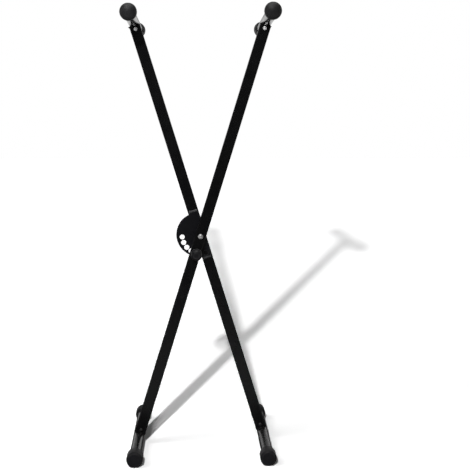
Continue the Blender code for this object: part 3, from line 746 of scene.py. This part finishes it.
def leg_mesh(name, offset, bent_ear, holes):
    """Square tube with saddled, splayed ends; rows run up the outside and down the inside."""
    outside = square_ring(LEG_WIDTH, LEG_CORNER)
    inside = square_ring(LEG_WIDTH - 2 * LEG_WALL, LEG_CORNER - LEG_WALL)
    rows = []

    def splay(x, way, depth):
        share = max(0.0, 1 - depth / LEG_FLARE_LENGTH) ** 2
        out = LEG_FLARE
        if way > 0 and x * bent_ear > EAR_FROM * abs(bent_ear) * LEG_WIDTH / 2:
            out = abs(bent_ear)
        return x * (1 + 2 * out * share / LEG_WIDTH)

    def row(way, depth, thick, edge):
        spots = []
        reach = ARM_REACH if way > 0 else FOOT_REACH
        for (x_out, y_out), (x_in, y_in) in zip(outside, inside):
            x = splay(x_out + (x_in - x_out) * thick, way, depth)
            y = y_out + (y_in - y_out) * thick
            spots.append((x, y + offset, leg_end(x, way, reach, depth)))
        rows.append((spots, edge))

    for depth in LEG_END_ROWS:
        row(-1, depth, 0.0, 1.0 if depth == LEG_RIM_BREAK else 0.0)
    for k in range(1, LEG_ROWS):
        share = k / LEG_ROWS
        z = -FOOT_REACH + LEG_PLAIN_FROM + (ARM_REACH + FOOT_REACH - 2 * LEG_PLAIN_FROM) * share
        rows.append(([(x, y + offset, z) for x, y in outside], 0.0))
    for depth in LEG_END_ROWS[::-1]:
        row(1, depth, 0.0, 1.0 if depth == LEG_RIM_BREAK else 0.0)
    rim = LEG_RIM_BREAK / LEG_WALL
    turned_in = [(0.0, rim, 1.0), (0.0, 1 - rim, 1.0), (LEG_RIM_BREAK, 1.0, 1.0), (LEG_INNER_ROW, 1.0, 0.0)]
    for way, order in ((1, turned_in), (-1, turned_in[::-1])):
        for depth, thick, edge in order:
            row(way, depth, thick, edge)
    bm = bmesh.new()
    loft(bm, [[bm.verts.new(spot) for spot in spots] for spots, edge in rows], "meet")
    mesh = finish_mesh(bm, name, LEG_PAINT)
    set_edges(mesh, [edge for spots, edge in rows for spot in spots])
    return cut_mesh(mesh, holes)


def leg(label, matrix, offset, bent_ear, extra_holes):
    """One leg of a frame, drilled for the bolt, for its two end screws and for what else it holds."""
    front = offset - LEG_WIDTH
    screw = SCREW_DIA / 2 + BORE_FIT
    holes = [(BOLT_HOLE, front, offset + LEG_WIDTH, 0.0, 0.0, SMALL),
             (screw, front, offset, 0.0, ARM_REACH - END_SCREW_OFFSET, SMALL),
             (screw, front, offset, 0.0, END_SCREW_OFFSET - FOOT_REACH, SMALL)] + extra_holes
    dress(label + "_leg", leg_mesh(label + "_leg", offset, bent_ear, holes), matrix)


def round_tube(node, matrix, centre_y, z):
    """Round tube, with its ends inside the caps."""
    half = SPREAD / 2 - (CAP_LENGTH - CAP_BORE_DEPTH) - SEAT
    inner = TUBE_RADIUS - TUBE_WALL
    corners = [(inner, -half, TUBE_END_BREAK), (TUBE_RADIUS, -half, TUBE_END_BREAK), (TUBE_RADIUS, 0.0, 0.0),
               (TUBE_RADIUS, half, TUBE_END_BREAK), (inner, half, TUBE_END_BREAK)]
    mesh = turned(node, rounded(corners, closed=True, steps=3), ROUND, TUBE_PAINT, closed=True)
    dress(node, mesh, matrix @ Matrix.Translation((0.0, centre_y, z)))


# Rubber caps

def flattened(angle, radius, full, side, bulge):
    """Radius of a cap with a worn flat on its upper or lower side and a swelling beside it."""
    from_flat = abs(atan2(sin(angle - side * pi / 2), cos(angle - side * pi / 2)))
    swell = 1 + bulge * exp(-((from_flat - SWELL_ANGLE) / SWELL_SPREAD) ** 2)
    reach = radius * swell + moulding_seam(angle, CAP_SEAM, CAP_SEAM_SPREAD)
    plane = full - CAP_FLAT
    lift = cos(from_flat)
    return min(reach, plane / lift) if lift > 0.1 else reach


def arm_cap_section():
    """Section of an arm cap: a round crown, a slight taper and a rolled mouth."""
    full = ARM_CAP_DIA / 2
    mouth = ARM_CAP_MOUTH_DIA / 2
    bore = SADDLE_RADIUS
    crown = full * ARM_CAP_CROWN
    section = [(0.0, 0.0, 0.0)]
    for k in range(1, ARM_CAP_STEPS + 1):
        angle = k / ARM_CAP_STEPS * pi / 2
        section.append((full * sin(angle), crown * (1 - cos(angle)), 0.0))
    taper_y = crown + ARM_CAP_TAPER_AT * (CAP_LENGTH - crown)
    tail = [(full, crown, 0.0), (full * ARM_CAP_TAPER, taper_y, 0.012),
            (mouth, CAP_LENGTH, 0.0013), (bore, CAP_LENGTH, 0.0005),
            (bore, CAP_LENGTH - CAP_BORE_DEPTH, 0.0), (0.0, CAP_LENGTH - CAP_BORE_DEPTH, 0.0)]
    return section + rounded(tail, steps=6)[1:]


def foot_cap_section():
    """Section of a foot cap: a flat face with a broad bevel, a straight side and a rolled mouth."""
    full = FOOT_CAP_DIA / 2
    face = FOOT_CAP_FACE_DIA / 2
    bore = SADDLE_RADIUS
    edge = full - face
    corners = [(0.0, 0.0, 0.0), (face - 0.0012, 0.0003, 0.0014), (full, 1.9 * edge, 0.006),
               (full, CAP_LENGTH - 0.003, 0.0), (full - 0.0012, CAP_LENGTH, 0.0012),
               (bore, CAP_LENGTH, 0.0005), (bore, CAP_LENGTH - CAP_BORE_DEPTH, 0.0),
               (0.0, CAP_LENGTH - CAP_BORE_DEPTH, 0.0)]
    return rounded(corners, steps=8)


def cap(node, matrix, centre_y, z, way, arm):
    """Rubber cap; way is -1 for the near end and 1 for the far end."""
    full = (ARM_CAP_DIA if arm else FOOT_CAP_DIA) / 2
    side = 1 if arm else -1
    bulge = 0.0 if arm else FOOT_CAP_SWELL
    section = arm_cap_section() if arm else foot_cap_section()

    def shape(angle, radius, y):
        if radius < SADDLE_RADIUS + CAP_BORE_MARGIN:
            return radius
        return flattened(angle, radius, full, side, bulge)

    mesh = turned(node, section, FINE, ARM_RUBBER if arm else FOOT_RUBBER, shape=shape)
    centre = matrix @ Vector((0.0, centre_y + way * SPREAD / 2, z))
    turn = Matrix.Identity(4) if way < 0 else Matrix.Rotation(pi, 4, "Z")
    dress(node, mesh, Matrix.Translation(centre) @ turn)


# Screws, bolt and nut

def domed_head(radius, height, face_y):
    """Section of a button head from its seat to its crown: a short rim under a ball's cap."""
    rim = HEAD_RIM * height
    rise = height - rim
    ball = (radius ** 2 + rise ** 2) / (2 * rise)
    points = [(radius - HEAD_BREAK, face_y, 0.0), (radius, face_y - HEAD_BREAK, 1.0)]
    for k in range(HEAD_STEPS + 1):
        angle = asin(radius / ball) * (1 - k / HEAD_STEPS)
        points.append((ball * sin(angle), face_y - height + ball * (1 - cos(angle)), 1.0 if k == 0 else 0.0))
    return points


def thread(shank, start, end, pitch, depth):
    """Section of a threaded length, from start to end along Y."""
    count = max(1, int(abs(end - start) / pitch))
    step = (end - start) / count
    points = []
    for k in range(count):
        base = start + step * k
        points.append((shank, base + THREAD_FLANK * step, 0.6))
        points.append((shank - depth, base + 0.5 * step, 0.0))
        points.append((shank, base + (1 - THREAD_FLANK) * step, 0.6))
    return points


def hexagon(socket, depth, crown):
    """The bar that cuts a hexagon socket into a head whose top is at crown."""
    return [(socket / 2, crown - CUT_CLEAR, crown + depth, 0.0, 0.0, SOCKET_SIDES, 0.0)]


def end_screw(node, matrix, face_y, z, material):
    """Button-head screw that holds a leg's end to the stub inside it."""
    seat = face_y - SEAT
    shank = SCREW_DIA / 2
    tip = seat + SCREW_LENGTH
    section = [(0.0, tip, 0.0), (shank - SCREW_TIP, tip, 0.5)]
    section += thread(shank, tip - SCREW_TIP, seat + SCREW_NECK, SCREW_PITCH, SCREW_THREAD_DEPTH)
    section += [(shank, seat, 0.0)] + domed_head(SCREW_HEAD_DIA / 2, SCREW_HEAD_HEIGHT, seat)
    mesh = turned(node, section, SMALL, material)
    mesh = cut_mesh(mesh, hexagon(SCREW_SOCKET, SCREW_SOCKET_DEPTH, seat - SCREW_HEAD_HEIGHT))
    dress(node, mesh, matrix @ Matrix.Translation((0.0, 0.0, z)))


def ring(node, inner, outer, y_a, y_b, bend, material, slot, matrix):
    """Washer or spacer with broken edges."""
    corners = [(inner, y_a, bend / 2), (outer, y_a, bend), (outer, y_b, bend), (inner, y_b, bend / 2)]
    section = rounded(corners, closed=True, steps=3, support=bend)
    mesh = turned(node, section, MIDDLE, material, closed=True)
    dress(node, mesh, matrix)


def pivot_bolt():
    """Button-head bolt, threaded at its far end for the lock nut."""
    shank = BOLT_DIA / 2
    washer_front = FRONT_FACE - SEAT - WASHER_THICKNESS
    seat = washer_front - SEAT
    nut_back = REAR_FACE + 2 * SEAT + WASHER_THICKNESS + NUT_HEIGHT + NUT_COLLAR_HEIGHT
    tip = nut_back + BOLT_TAIL
    section = [(0.0, tip, 0.0), (shank - BOLT_TIP_CHAMFER, tip, 0.5)]
    section += thread(shank, tip - BOLT_TIP_LENGTH, REAR_FACE - BOLT_THREAD_IN, BOLT_PITCH, BOLT_THREAD_DEPTH)
    section += [(shank, REAR_FACE - BOLT_NECK_IN, 0.0), (shank, seat, 0.0)]
    section += domed_head(BOLT_HEAD_DIA / 2, BOLT_HEAD_HEIGHT, seat)
    mesh = turned("pivot_bolt", section, ROUND, BOLT_ZINC)
    mesh = cut_mesh(mesh, hexagon(BOLT_SOCKET, BOLT_SOCKET_DEPTH, seat - BOLT_HEAD_HEIGHT))
    dress("pivot_bolt", mesh, REAR)


def lock_nut():
    """Hexagon nut with chamfered corners and a round collar."""
    front = REAR_FACE + 2 * SEAT + WASHER_THICKNESS
    flat_end = front + NUT_HEIGHT
    back = flat_end + NUT_COLLAR_HEIGHT
    corner = NUT_ACROSS_FLATS / 2 / cos(pi / 6)
    collar = NUT_COLLAR_DIA / 2
    inner = BOLT_HOLE
    corners = [(inner, front, 0.0003), (corner - 0.0009, front, 0.0), (corner + 0.0001, front + 0.0005, 0.0),
               (corner + 0.0001, flat_end - 0.0007, 0.0), (corner - 0.0013, flat_end, 0.0),
               (collar, flat_end, 0.0003), (collar, back, 0.0007), (inner + 0.0012, back, 0.0003),
               (inner, back - 0.0006, 0.0)]

    def shape(angle, radius, y):
        sector = (angle % (pi / 3)) - pi / 6
        return min(radius, NUT_ACROSS_FLATS / 2 / cos(sector))

    section = rounded(corners, closed=True, steps=4, support=0.0003)
    mesh = turned("pivot_lock_nut", section, FINE, BOLT_ZINC, closed=True, shape=shape)
    dress("pivot_lock_nut", mesh, REAR)


# Lock plate

def plate_outline():
    """Outline of the lock plate in the rear frame, anticlockwise."""
    points = []
    right = TONGUE_HALF_WIDTH - PLATE_CORNER
    for centre_z, start in ((-TONGUE_DOWN + PLATE_CORNER, -90), (TONGUE_UP - PLATE_CORNER, 0)):
        for k in range(10):
            angle = radians(start + 10 * k)
            points.append((right + PLATE_CORNER * cos(angle), centre_z + PLATE_CORNER * sin(angle)))
    neck = -TONGUE_HALF_WIDTH + PLATE_CORNER
    shoulder = -TONGUE_HALF_WIDTH - PLATE_CORNER / 2
    rise = sqrt(PLATE_ARC_RADIUS ** 2 - (shoulder - PLATE_ARC_X) ** 2)
    start = atan2(rise, shoulder - PLATE_ARC_X)
    sweep = 2 * (pi - start)
    points.append((neck, TONGUE_UP))
    for k in range(PLATE_ARC_STEPS + 1):
        angle = start + sweep * k / PLATE_ARC_STEPS
        points.append((PLATE_ARC_X + PLATE_ARC_RADIUS * cos(angle),
                       PLATE_ARC_Z + PLATE_ARC_RADIUS * sin(angle)))
    points.append((neck, -TONGUE_DOWN))
    return points


def drawn_in(points, depth):
    """The outline moved inwards by depth."""
    moved = []
    count = len(points)
    for i, (x, z) in enumerate(points):
        before = Vector((x, z)) - Vector(points[i - 1])
        after = Vector(points[(i + 1) % count]) - Vector((x, z))
        left_a = Vector((-before.y, before.x)).normalized()
        left_b = Vector((-after.y, after.x)).normalized()
        middle = (left_a + left_b).normalized()
        moved.append((x + middle.x * depth / max(middle.dot(left_a), 0.5),
                      z + middle.y * depth / max(middle.dot(left_a), 0.5)))
    return moved


def circle(x, z, radius):
    """Points round a hole of the plate."""
    angles = [2 * pi * k / SMALL for k in range(SMALL)]
    return [(x + radius * cos(angle), z + radius * sin(angle)) for angle in angles]


def lock_plate():
    """Drilled plate with broken edges, filled between its outline and its holes."""
    outline = plate_outline()
    holes = [(0.0, 0.0, BOLT_HOLE)]
    for angle in [REST_ANGLE + k * LOCK_STEP for k in range(LOCK_SETTINGS)] + [FOLDED_ANGLE]:
        turn = angle - PLUNGER_ANGLE
        holes.append((-LOCK_RADIUS * sin(turn), -LOCK_RADIUS * cos(turn), LOCK_HOLE))
    bm = bmesh.new()
    edges = []

    def loop(points, y, edge):
        edges.extend([edge] * len(points))
        return [bm.verts.new((x, y, z)) for x, z in points]

    levels = [(PLATE_FRONT, PLATE_BREAK, 1.0), (PLATE_FRONT + PLATE_BREAK, 0.0, 1.0),
              (PLATE_BACK - PLATE_BREAK, 0.0, 1.0), (PLATE_BACK, PLATE_BREAK, 1.0)]
    walls = [[loop(drawn_in(outline, depth), y, edge) for y, depth, edge in levels]]
    for x, z, radius in holes:
        walls.append([loop(circle(x, z, radius + depth), y, edge) for y, depth, edge in levels])
    inner_front = loop(drawn_in(outline, PLATE_BREAK + PLATE_RIM), PLATE_FRONT, 0.0)
    inner_back = loop(drawn_in(outline, PLATE_BREAK + PLATE_RIM), PLATE_BACK, 0.0)
    for wall in walls:
        loft(bm, wall)
    bridge(bm, inner_front, walls[0][0])
    bridge(bm, inner_back, walls[0][-1])
    for inner, pick, y in ((inner_front, 0, PLATE_FRONT), (inner_back, -1, PLATE_BACK)):
        rims = [inner]
        for (x, z, radius), wall in zip(holes, walls[1:]):
            collar = loop(circle(x, z, radius + PLATE_BREAK + HOLE_RIM), y, 0.0)
            bridge(bm, collar, wall[pick])
            rims.append(collar)
        lines = []
        for rim in rims:
            for a, b in zip(rim, rim[1:] + rim[:1]):
                lines.append(bm.edges.get((a, b)) or bm.edges.new((a, b)))
        bmesh.ops.triangle_fill(bm, edges=lines, use_beauty=True, use_dissolve=False)
    mesh = finish_mesh(bm, "lock_plate", PLATE_PAINT)
    set_edges(mesh, edges)
    dress("lock_plate", mesh, REAR)


def weld_bead(node, edge_z, way, seed):
    """Fillet weld laid as overlapping ripples, fatter where the arc was struck; its crests carry a painted
    highlight.
    """
    root_y = REAR_LEG_FACE - SEAT
    height = PLATE_THICKNESS - SEAT
    start_z = edge_z + way * SEAT
    half = TONGUE_HALF_WIDTH - WELD_MARGIN
    bm = bmesh.new()
    rings = []
    edges = []
    for k in range(WELD_STATIONS + 1):
        along = k / WELD_STATIONS
        end = sqrt(max(0.0, 1 - (1 - min(1.0, min(along, 1 - along) / WELD_END_SHARE)) ** 2))
        struck = 1 + WELD_STRIKE * exp(-((along - WELD_STRIKE_AT) / WELD_STRIKE_SPREAD) ** 2)
        wander = 1 + WELD_WANDER * noise.noise(Vector((along * 7.0, seed, 0.0)))
        x_middle = (2 * along - 1) * half
        ring_points = [bm.verts.new((x_middle, root_y, start_z))]
        edges.append(0.0)
        for j in range(WELD_FACETS):
            share = j / (WELD_FACETS - 1)
            angle = share * pi / 2
            bow = WELD_RIPPLE_BOW * (1 - (2 * share - 1) ** 2)
            phase = (along - bow) * WELD_RIPPLES
            ripple = WELD_RIPPLE_DEPTH * (1 - 2 * (phase % 1.0)) * sin(pi * share)
            grow = (0.35 + 0.65 * end) * struck * wander * (1 + ripple)
            reach = WELD_LEG * grow * cos(angle)
            swollen = height * (0.45 + 0.55 * end) * (1 + 0.25 * sin(2 * angle) + ripple)
            rise = min(swollen, PLATE_THICKNESS * 1.2)
            ring_points.append(bm.verts.new((x_middle, root_y - rise * sin(angle), start_z + way * reach)))
            # painted highlight on the ripple crests
            edges.append(WELD_CREST_HIGHLIGHT * max(0.0, ripple))
        rings.append(ring_points)
    loft(bm, rings, "capped")
    mesh = finish_mesh(bm, node, WELD_COAT_PAINTED_HIGHLIGHT, crease=WELD_CREASE)
    set_edges(mesh, edges)
    dress(node, mesh, REAR)


# Plunger

def plunger_housing():
    """Barrel through both walls of the front leg, with a flange and a boss in front."""
    pin = PIN_DIA / 2
    chamber = pin + PIN_FIT
    stem_bore = STEM_DIA / 2 + BORE_FIT
    corners = [(chamber, FRONT_LEG_BACK, 0.0004), (BARREL_DIA / 2, FRONT_LEG_BACK, 0.0003),
               (BARREL_DIA / 2, FLANGE_BACK, 0.0), (FLANGE_DIA / 2, FLANGE_BACK, 0.0003),
               (FLANGE_DIA / 2, FLANGE_FRONT, 0.0009), (BOSS_DIA / 2, FLANGE_FRONT, 0.0011),
               (BOSS_DIA / 2, BOSS_FRONT, 0.0010), (stem_bore, BOSS_FRONT, 0.0005),
               (stem_bore, SPRING_SEAT, 0.0), (chamber, SPRING_SEAT, 0.0)]
    mesh = turned("plunger_housing", rounded(corners, closed=True, steps=5), ROUND, PLATE_PAINT, closed=True)
    dress("plunger_housing", mesh, PLUNGER)


def plunger_pin():
    """Locking pin with a centred tip, a shoulder for the spring and the stem of the knob."""
    pin = PIN_DIA / 2
    stem = STEM_DIA / 2
    stem_end = KNOB_BACK - KNOB_BORE_DEPTH + SEAT
    corners = [(0.0, TIP_REST, 0.0), (0.0018, TIP_REST, 0.0002), (0.0021, TIP_REST - 0.0003, 0.0002),
               (0.0024, TIP_REST, 0.0002), (pin - PIN_CHAMFER, TIP_REST, 0.0003),
               (pin, TIP_REST - PIN_CHAMFER, 0.0004), (pin, SHOULDER_REST, 0.0003),
               (stem, SHOULDER_REST, 0.0003), (stem, stem_end, 0.0004), (0.0, stem_end, 0.0)]
    mesh = turned("plunger_pin", rounded(corners, steps=3, support=0.0004), SMALL, SPRING_STEEL)
    dress("plunger_pin", mesh, PLUNGER)


def pull_knob():
    """Turned knob with a neck, a waisted side, a rounded rim and a dished face."""
    full = KNOB_DIA / 2
    neck = KNOB_NECK_DIA / 2
    bore = STEM_DIA / 2 + BORE_FIT
    front = KNOB_BACK - KNOB_LENGTH
    flare = KNOB_BACK - KNOB_NECK_LENGTH
    bore_end = KNOB_BACK - KNOB_BORE_DEPTH
    corners = [(0.0, bore_end, 0.0), (bore, bore_end, 0.0), (bore, KNOB_BACK, 0.0004),
               (neck, KNOB_BACK, 0.0006), (neck, flare, 0.0012), (full - 0.0006, flare - 0.0016, 0.0022),
               (full - 0.0007, flare - 0.0040, 0.004), (full, front + 0.0048, 0.0030),
               (full * 0.72, front + 0.0006, 0.0045), (full * 0.52, front, 0.0012),
               (full * 0.44, front + 0.0005, 0.0014), (0.0, front + 0.0009, 0.0)]

    def shape(angle, radius, y):
        if radius < neck + 0.001 or y > flare:
            return radius
        return radius + moulding_seam(angle, KNOB_SEAM, KNOB_SEAM_SPREAD)

    mesh = turned("pull_knob", rounded(corners, steps=7), FINE, KNOB_PLASTIC, shape=shape)
    dress("pull_knob", mesh, PLUNGER)


def plunger_spring():
    """Compression spring with closed end turns, between the housing and the pin."""
    wire = SPRING_WIRE / 2
    mean = SPRING_MEAN_DIA / 2
    housing_end = SPRING_SEAT + SEAT
    pin_end = SHOULDER_REST - SEAT
    open_turns = SPRING_TURNS - 2
    open_pitch = (pin_end - housing_end - SPRING_WIRE - 2 * SPRING_CLOSED_PITCH) / open_turns
    bm = bmesh.new()
    rings = []
    for k in range(SPRING_TURNS * SPRING_STEPS + 1):
        turn = k / SPRING_STEPS
        opened = min(max(turn - 1, 0.0), open_turns)
        y = housing_end + wire + SPRING_CLOSED_PITCH * (turn - opened) + open_pitch * opened
        angle = 2 * pi * turn
        outward = Vector((cos(angle), 0.0, sin(angle)))
        pitch = open_pitch if 0 < opened < open_turns else SPRING_CLOSED_PITCH
        along = Vector((-2 * pi * mean * sin(angle), pitch, 2 * pi * mean * cos(angle))).normalized()
        across = along.cross(outward)
        middle = outward * mean + Vector((0.0, y, 0.0))
        rings.append([bm.verts.new(middle + wire * (cos(a) * outward + sin(a) * across))
                      for a in (2 * pi * j / SPRING_FACETS for j in range(SPRING_FACETS))])
    loft(bm, rings, "capped")
    mesh = finish_mesh(bm, "plunger_spring", SPRING_STEEL)
    mesh.transform(PLUNGER)
    piece = in_scene("plunger_spring_dressed", mesh)
    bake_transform(piece)
    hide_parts("plunger_spring")


# The stand

leg("rear", REAR, LEG_OFFSET, -BENT_EAR, [])
leg("front", FRONT, -LEG_OFFSET, LEG_FLARE,
    [(BARREL_DIA / 2 + BORE_FIT, -LEG_OFFSET - LEG_WIDTH, 0.0, PLUNGER_OFFSET, -PLUNGER_DROP, SMALL)])
for side, matrix, offset in (("rear", REAR, LEG_OFFSET), ("front", FRONT, -LEG_OFFSET)):
    for end, z, centre_y, inward in (("arm", ARM_REACH, offset, -1), ("foot", -FOOT_REACH, 0.0, 1)):
        base = side + "_" + end
        round_tube(base + "_tube", matrix, centre_y, z)
        end_screw(base + "_screw", matrix, offset - LEG_WIDTH / 2, z + inward * END_SCREW_OFFSET,
                  ARM_SCREW_ZINC if end == "arm" else FOOT_SCREW_ZINC_PAINTED_SHADE)
        cap(base + "_cap_near", matrix, centre_y, z, -1, end == "arm")
        cap(base + "_cap_far", matrix, centre_y, z, 1, end == "arm")
        repaint(base + "_stub", STUB_COAT_PAINTED_SHADE)
lock_plate()
weld_bead("lock_plate_weld_upper", TONGUE_UP, 1, 3.0)
weld_bead("lock_plate_weld_lower", -TONGUE_DOWN, -1, 8.0)
pivot_bolt()
lock_nut()
ring("pivot_head_washer", BOLT_HOLE, WASHER_DIA / 2, FRONT_FACE - SEAT - WASHER_THICKNESS, FRONT_FACE - SEAT,
     WASHER_BREAK, WASHER_ZINC, "zinc_plate", REAR)
ring("pivot_nut_washer", BOLT_HOLE, WASHER_DIA / 2, REAR_FACE + SEAT, REAR_FACE + SEAT + WASHER_THICKNESS,
     WASHER_BREAK, BOLT_ZINC, "zinc_plate", REAR)
ring("pivot_spacer", BOLT_HOLE, SPACER_DIA / 2, SPACER_FRONT, SPACER_BACK, SPACER_BREAK, SPACER_PLASTIC,
     "black_plastic", REAR)
plunger_housing()
plunger_pin()
pull_knob()
plunger_spring()
repaint("pivot_sleeve_rear", BOLT_ZINC)
repaint("pivot_sleeve_front", BOLT_ZINC)


# Floor, lamps and camera

FLOOR_HALF_SIZE = 30.0
FLOOR_HALFWAY = 3.0      # this far from the stand the floor is half the way along FLOOR_LIFT
FLOOR_LIFT = ((0.0, 0.04), (0.05, 0.05), (0.157, 0.10), (0.2415, 0.13), (0.4264, 0.16), (0.526, 0.18),
              (0.578, 0.22), (0.667, 0.42), (0.769, 0.64), (0.909, 0.93), (1.0, 1.0))
WHITE = (1.0, 1.0, 1.0, 1.0)
CAMERA_YAW = radians(2.45)
CAMERA_PITCH = radians(5.83)
CAMERA_ROLL = radians(0.038)
CAMERA_SENSOR = 36.0
CAMERA_LENS = 72.534
CAMERA_PLACE = (-0.013424, -2.180171, PIVOT_HEIGHT + 0.223195)


def studio_floor():
    """White floor that keeps the stand's shadow and turns plain white far away; its glow and colour rise with
    distance as painted light, and a glow seen only in reflections is painted light too.
    """
    bm = bmesh.new()
    bmesh.ops.create_grid(bm, x_segments=8, y_segments=8, size=FLOOR_HALF_SIZE)
    mesh = mesh_from(bm, "studio_floor")
    material = bpy.data.materials.new("studio_floor")
    material.use_nodes = True
    tree = material.node_tree
    tree.nodes.clear()
    place = add(tree, "ShaderNodeTexCoord")
    y = axes(tree, place.outputs["Object"])["Y"]
    rays = add(tree, "ShaderNodeLightPath").outputs
    fill = add(tree, "ShaderNodeFloatCurve")
    curve = fill.mapping.curves[0]
    for spot, lift in FLOOR_LIFT[1:-1]:
        curve.points.new(spot, lift)
    curve.points[0].location = FLOOR_LIFT[0]
    curve.points[len(curve.points) - 1].location = FLOOR_LIFT[-1]
    fill.mapping.update()
    away = add(tree, "ShaderNodeVectorMath", {"operation": "LENGTH"})
    join(tree, place.outputs["Object"], away.inputs[0])
    distance = away.outputs["Value"]
    far = maths(tree, "DIVIDE", distance, maths(tree, "ADD", distance, FLOOR_HALFWAY))
    join(tree, far, fill.inputs["Value"])
    # Painted fill light: the floor's own glow, seen by the camera, rises with distance.
    seen = maths(tree, "MULTIPLY", rays["Is Camera Ray"], fill.outputs["Value"])
    # Painted light seen only in reflections: the floor glows for glossy rays, far behind the stand and just
    # in front of it.
    behind = ramp(tree, y, 0.5, 4.0, 0.05, 0.85)
    near = ramp(tree, y, -0.8, -1.8, 1.0, 0.06)
    before = maths(tree, "MULTIPLY", near, ramp(tree, y, -0.05, -0.45, 0.0, 0.32))
    mirrored = maths(tree, "ADD", behind, before)
    glow = add(tree, "ShaderNodeEmission", None, {"Color": WHITE})
    join(tree, weighted(tree, seen, [(rays["Is Glossy Ray"], mirrored)]), glow.inputs["Strength"])
    # Painted light: the floor's colour for the camera rises above white with distance.
    shade = maths(tree, "MULTIPLY", rays["Is Camera Ray"], ramp(tree, distance, 0.5, 4.0, 1.3, 2.3))
    shade = weighted(tree, shade, [(rays["Is Diffuse Ray"], 0.6)])
    colour = add(tree, "ShaderNodeCombineColor")
    for channel in ("Red", "Green", "Blue"):
        join(tree, shade, colour.inputs[channel])
    matt = add(tree, "ShaderNodeBsdfDiffuse")
    join(tree, colour.outputs["Color"], matt.inputs["Color"])
    both = add(tree, "ShaderNodeAddShader")
    join(tree, matt.outputs["BSDF"], both.inputs[0])
    join(tree, glow.outputs["Emission"], both.inputs[1])
    out = add(tree, "ShaderNodeOutputMaterial")
    join(tree, both.outputs["Shader"], out.inputs["Surface"])
    mesh.materials.append(material)
    floor = in_scene("studio_floor", mesh)


def studio_world():
    """White behind the stand and dim behind the camera; the camera itself sees plain white."""
    world = bpy.data.worlds.new("studio_world")
    world.use_nodes = True
    tree = world.node_tree
    tree.nodes.clear()
    place = add(tree, "ShaderNodeTexCoord")
    towards = axes(tree, place.outputs["Generated"])
    rays = add(tree, "ShaderNodeLightPath").outputs
    behind = ramp(tree, towards["Y"], 0.0, 0.75)
    low = ramp(tree, towards["Z"], 0.01, 0.25, 1.0, 0.18)
    glow = weighted(tree, 0.07, [(maths(tree, "MULTIPLY", behind, low), 0.93)])
    strength = maths(tree, "ADD", rays["Is Camera Ray"], rays["Is Transmission Ray"])
    strength = weighted(tree, strength, [(rays["Is Glossy Ray"], glow), (rays["Is Diffuse Ray"], 0.03)])
    sky = add(tree, "ShaderNodeBackground", None, {"Color": WHITE})
    join(tree, strength, sky.inputs["Strength"])
    out = add(tree, "ShaderNodeOutputWorld")
    join(tree, sky.outputs["Background"], out.inputs["Surface"])
    bpy.context.scene.world = world


def lamp(name, kind, place, target, power, size):
    """A lamp at place, turned towards target."""
    data = bpy.data.lights.new(name, kind)
    data.energy = power
    if kind == "AREA":
        data.shape = "DISK"
        data.size = size
    else:
        data.shadow_soft_size = size
    made = in_scene(name, data)
    made.location = place
    made.rotation_euler = (Vector(target) - Vector(place)).to_track_quat("-Z", "Y").to_euler()
    return made


def even_reach(made):
    """Keeps a lamp as strong far away as it is near, and out of the reflections."""
    made.visible_glossy = False
    made.data.use_nodes = True
    tree = made.data.node_tree
    falloff = add(tree, "ShaderNodeLightFalloff", None, {"Strength": 1.0})
    join(tree, falloff.outputs["Constant"], tree.nodes["Emission"].inputs["Strength"])


def studio_camera():
    """The photograph's own viewpoint."""
    level = cos(CAMERA_PITCH)
    ahead = Vector((sin(CAMERA_YAW) * level, cos(CAMERA_YAW) * level, -sin(CAMERA_PITCH)))
    right = ahead.cross(Vector((0.0, 0.0, 1.0))).normalized()
    up = right.cross(ahead)
    tilted_right = cos(CAMERA_ROLL) * right + sin(CAMERA_ROLL) * up
    tilted_up = cos(CAMERA_ROLL) * up - sin(CAMERA_ROLL) * right
    data = bpy.data.cameras.new("photograph_camera")
    data.sensor_width = CAMERA_SENSOR
    data.lens = CAMERA_LENS
    made = in_scene("photograph_camera", data)
    turn = Matrix((tilted_right, tilted_up, -ahead)).transposed().to_4x4()
    made.matrix_world = Matrix.Translation(CAMERA_PLACE) @ turn
    bpy.context.scene.camera = made


studio_floor()
studio_world()
even_reach(lamp("shadow_lamp", "POINT", (-0.28, -2.12, 1.43), (0.0, 0.0, 0.4), 39.5, 0.03))
even_reach(lamp("left_softbox", "AREA", (-3.8, -1.4, 4.2), (0.0, 0.0, 0.1), 3.4, 3.4))
lamp("overhead_softbox", "AREA", (0.0, 0.0, 2.6), (0.0, 0.0, 0.6), 13.5, 2.0).visible_diffuse = False
lamp("front_softbox", "AREA", (-0.3, -0.9, 1.75), (0.0, -0.2, 0.97), 5.0, 0.5).visible_diffuse = False
arm_light = lamp("arm_light", "SPOT", (-0.9, -1.8, 0.75), (-0.15, 0.0, 0.95), 90.0, 0.05)
arm_light.visible_glossy = False
arm_light.data.spot_size = radians(24)
arm_light.data.spot_blend = 1.0
studio_camera()
bpy.context.scene.view_settings.view_transform = "Standard"
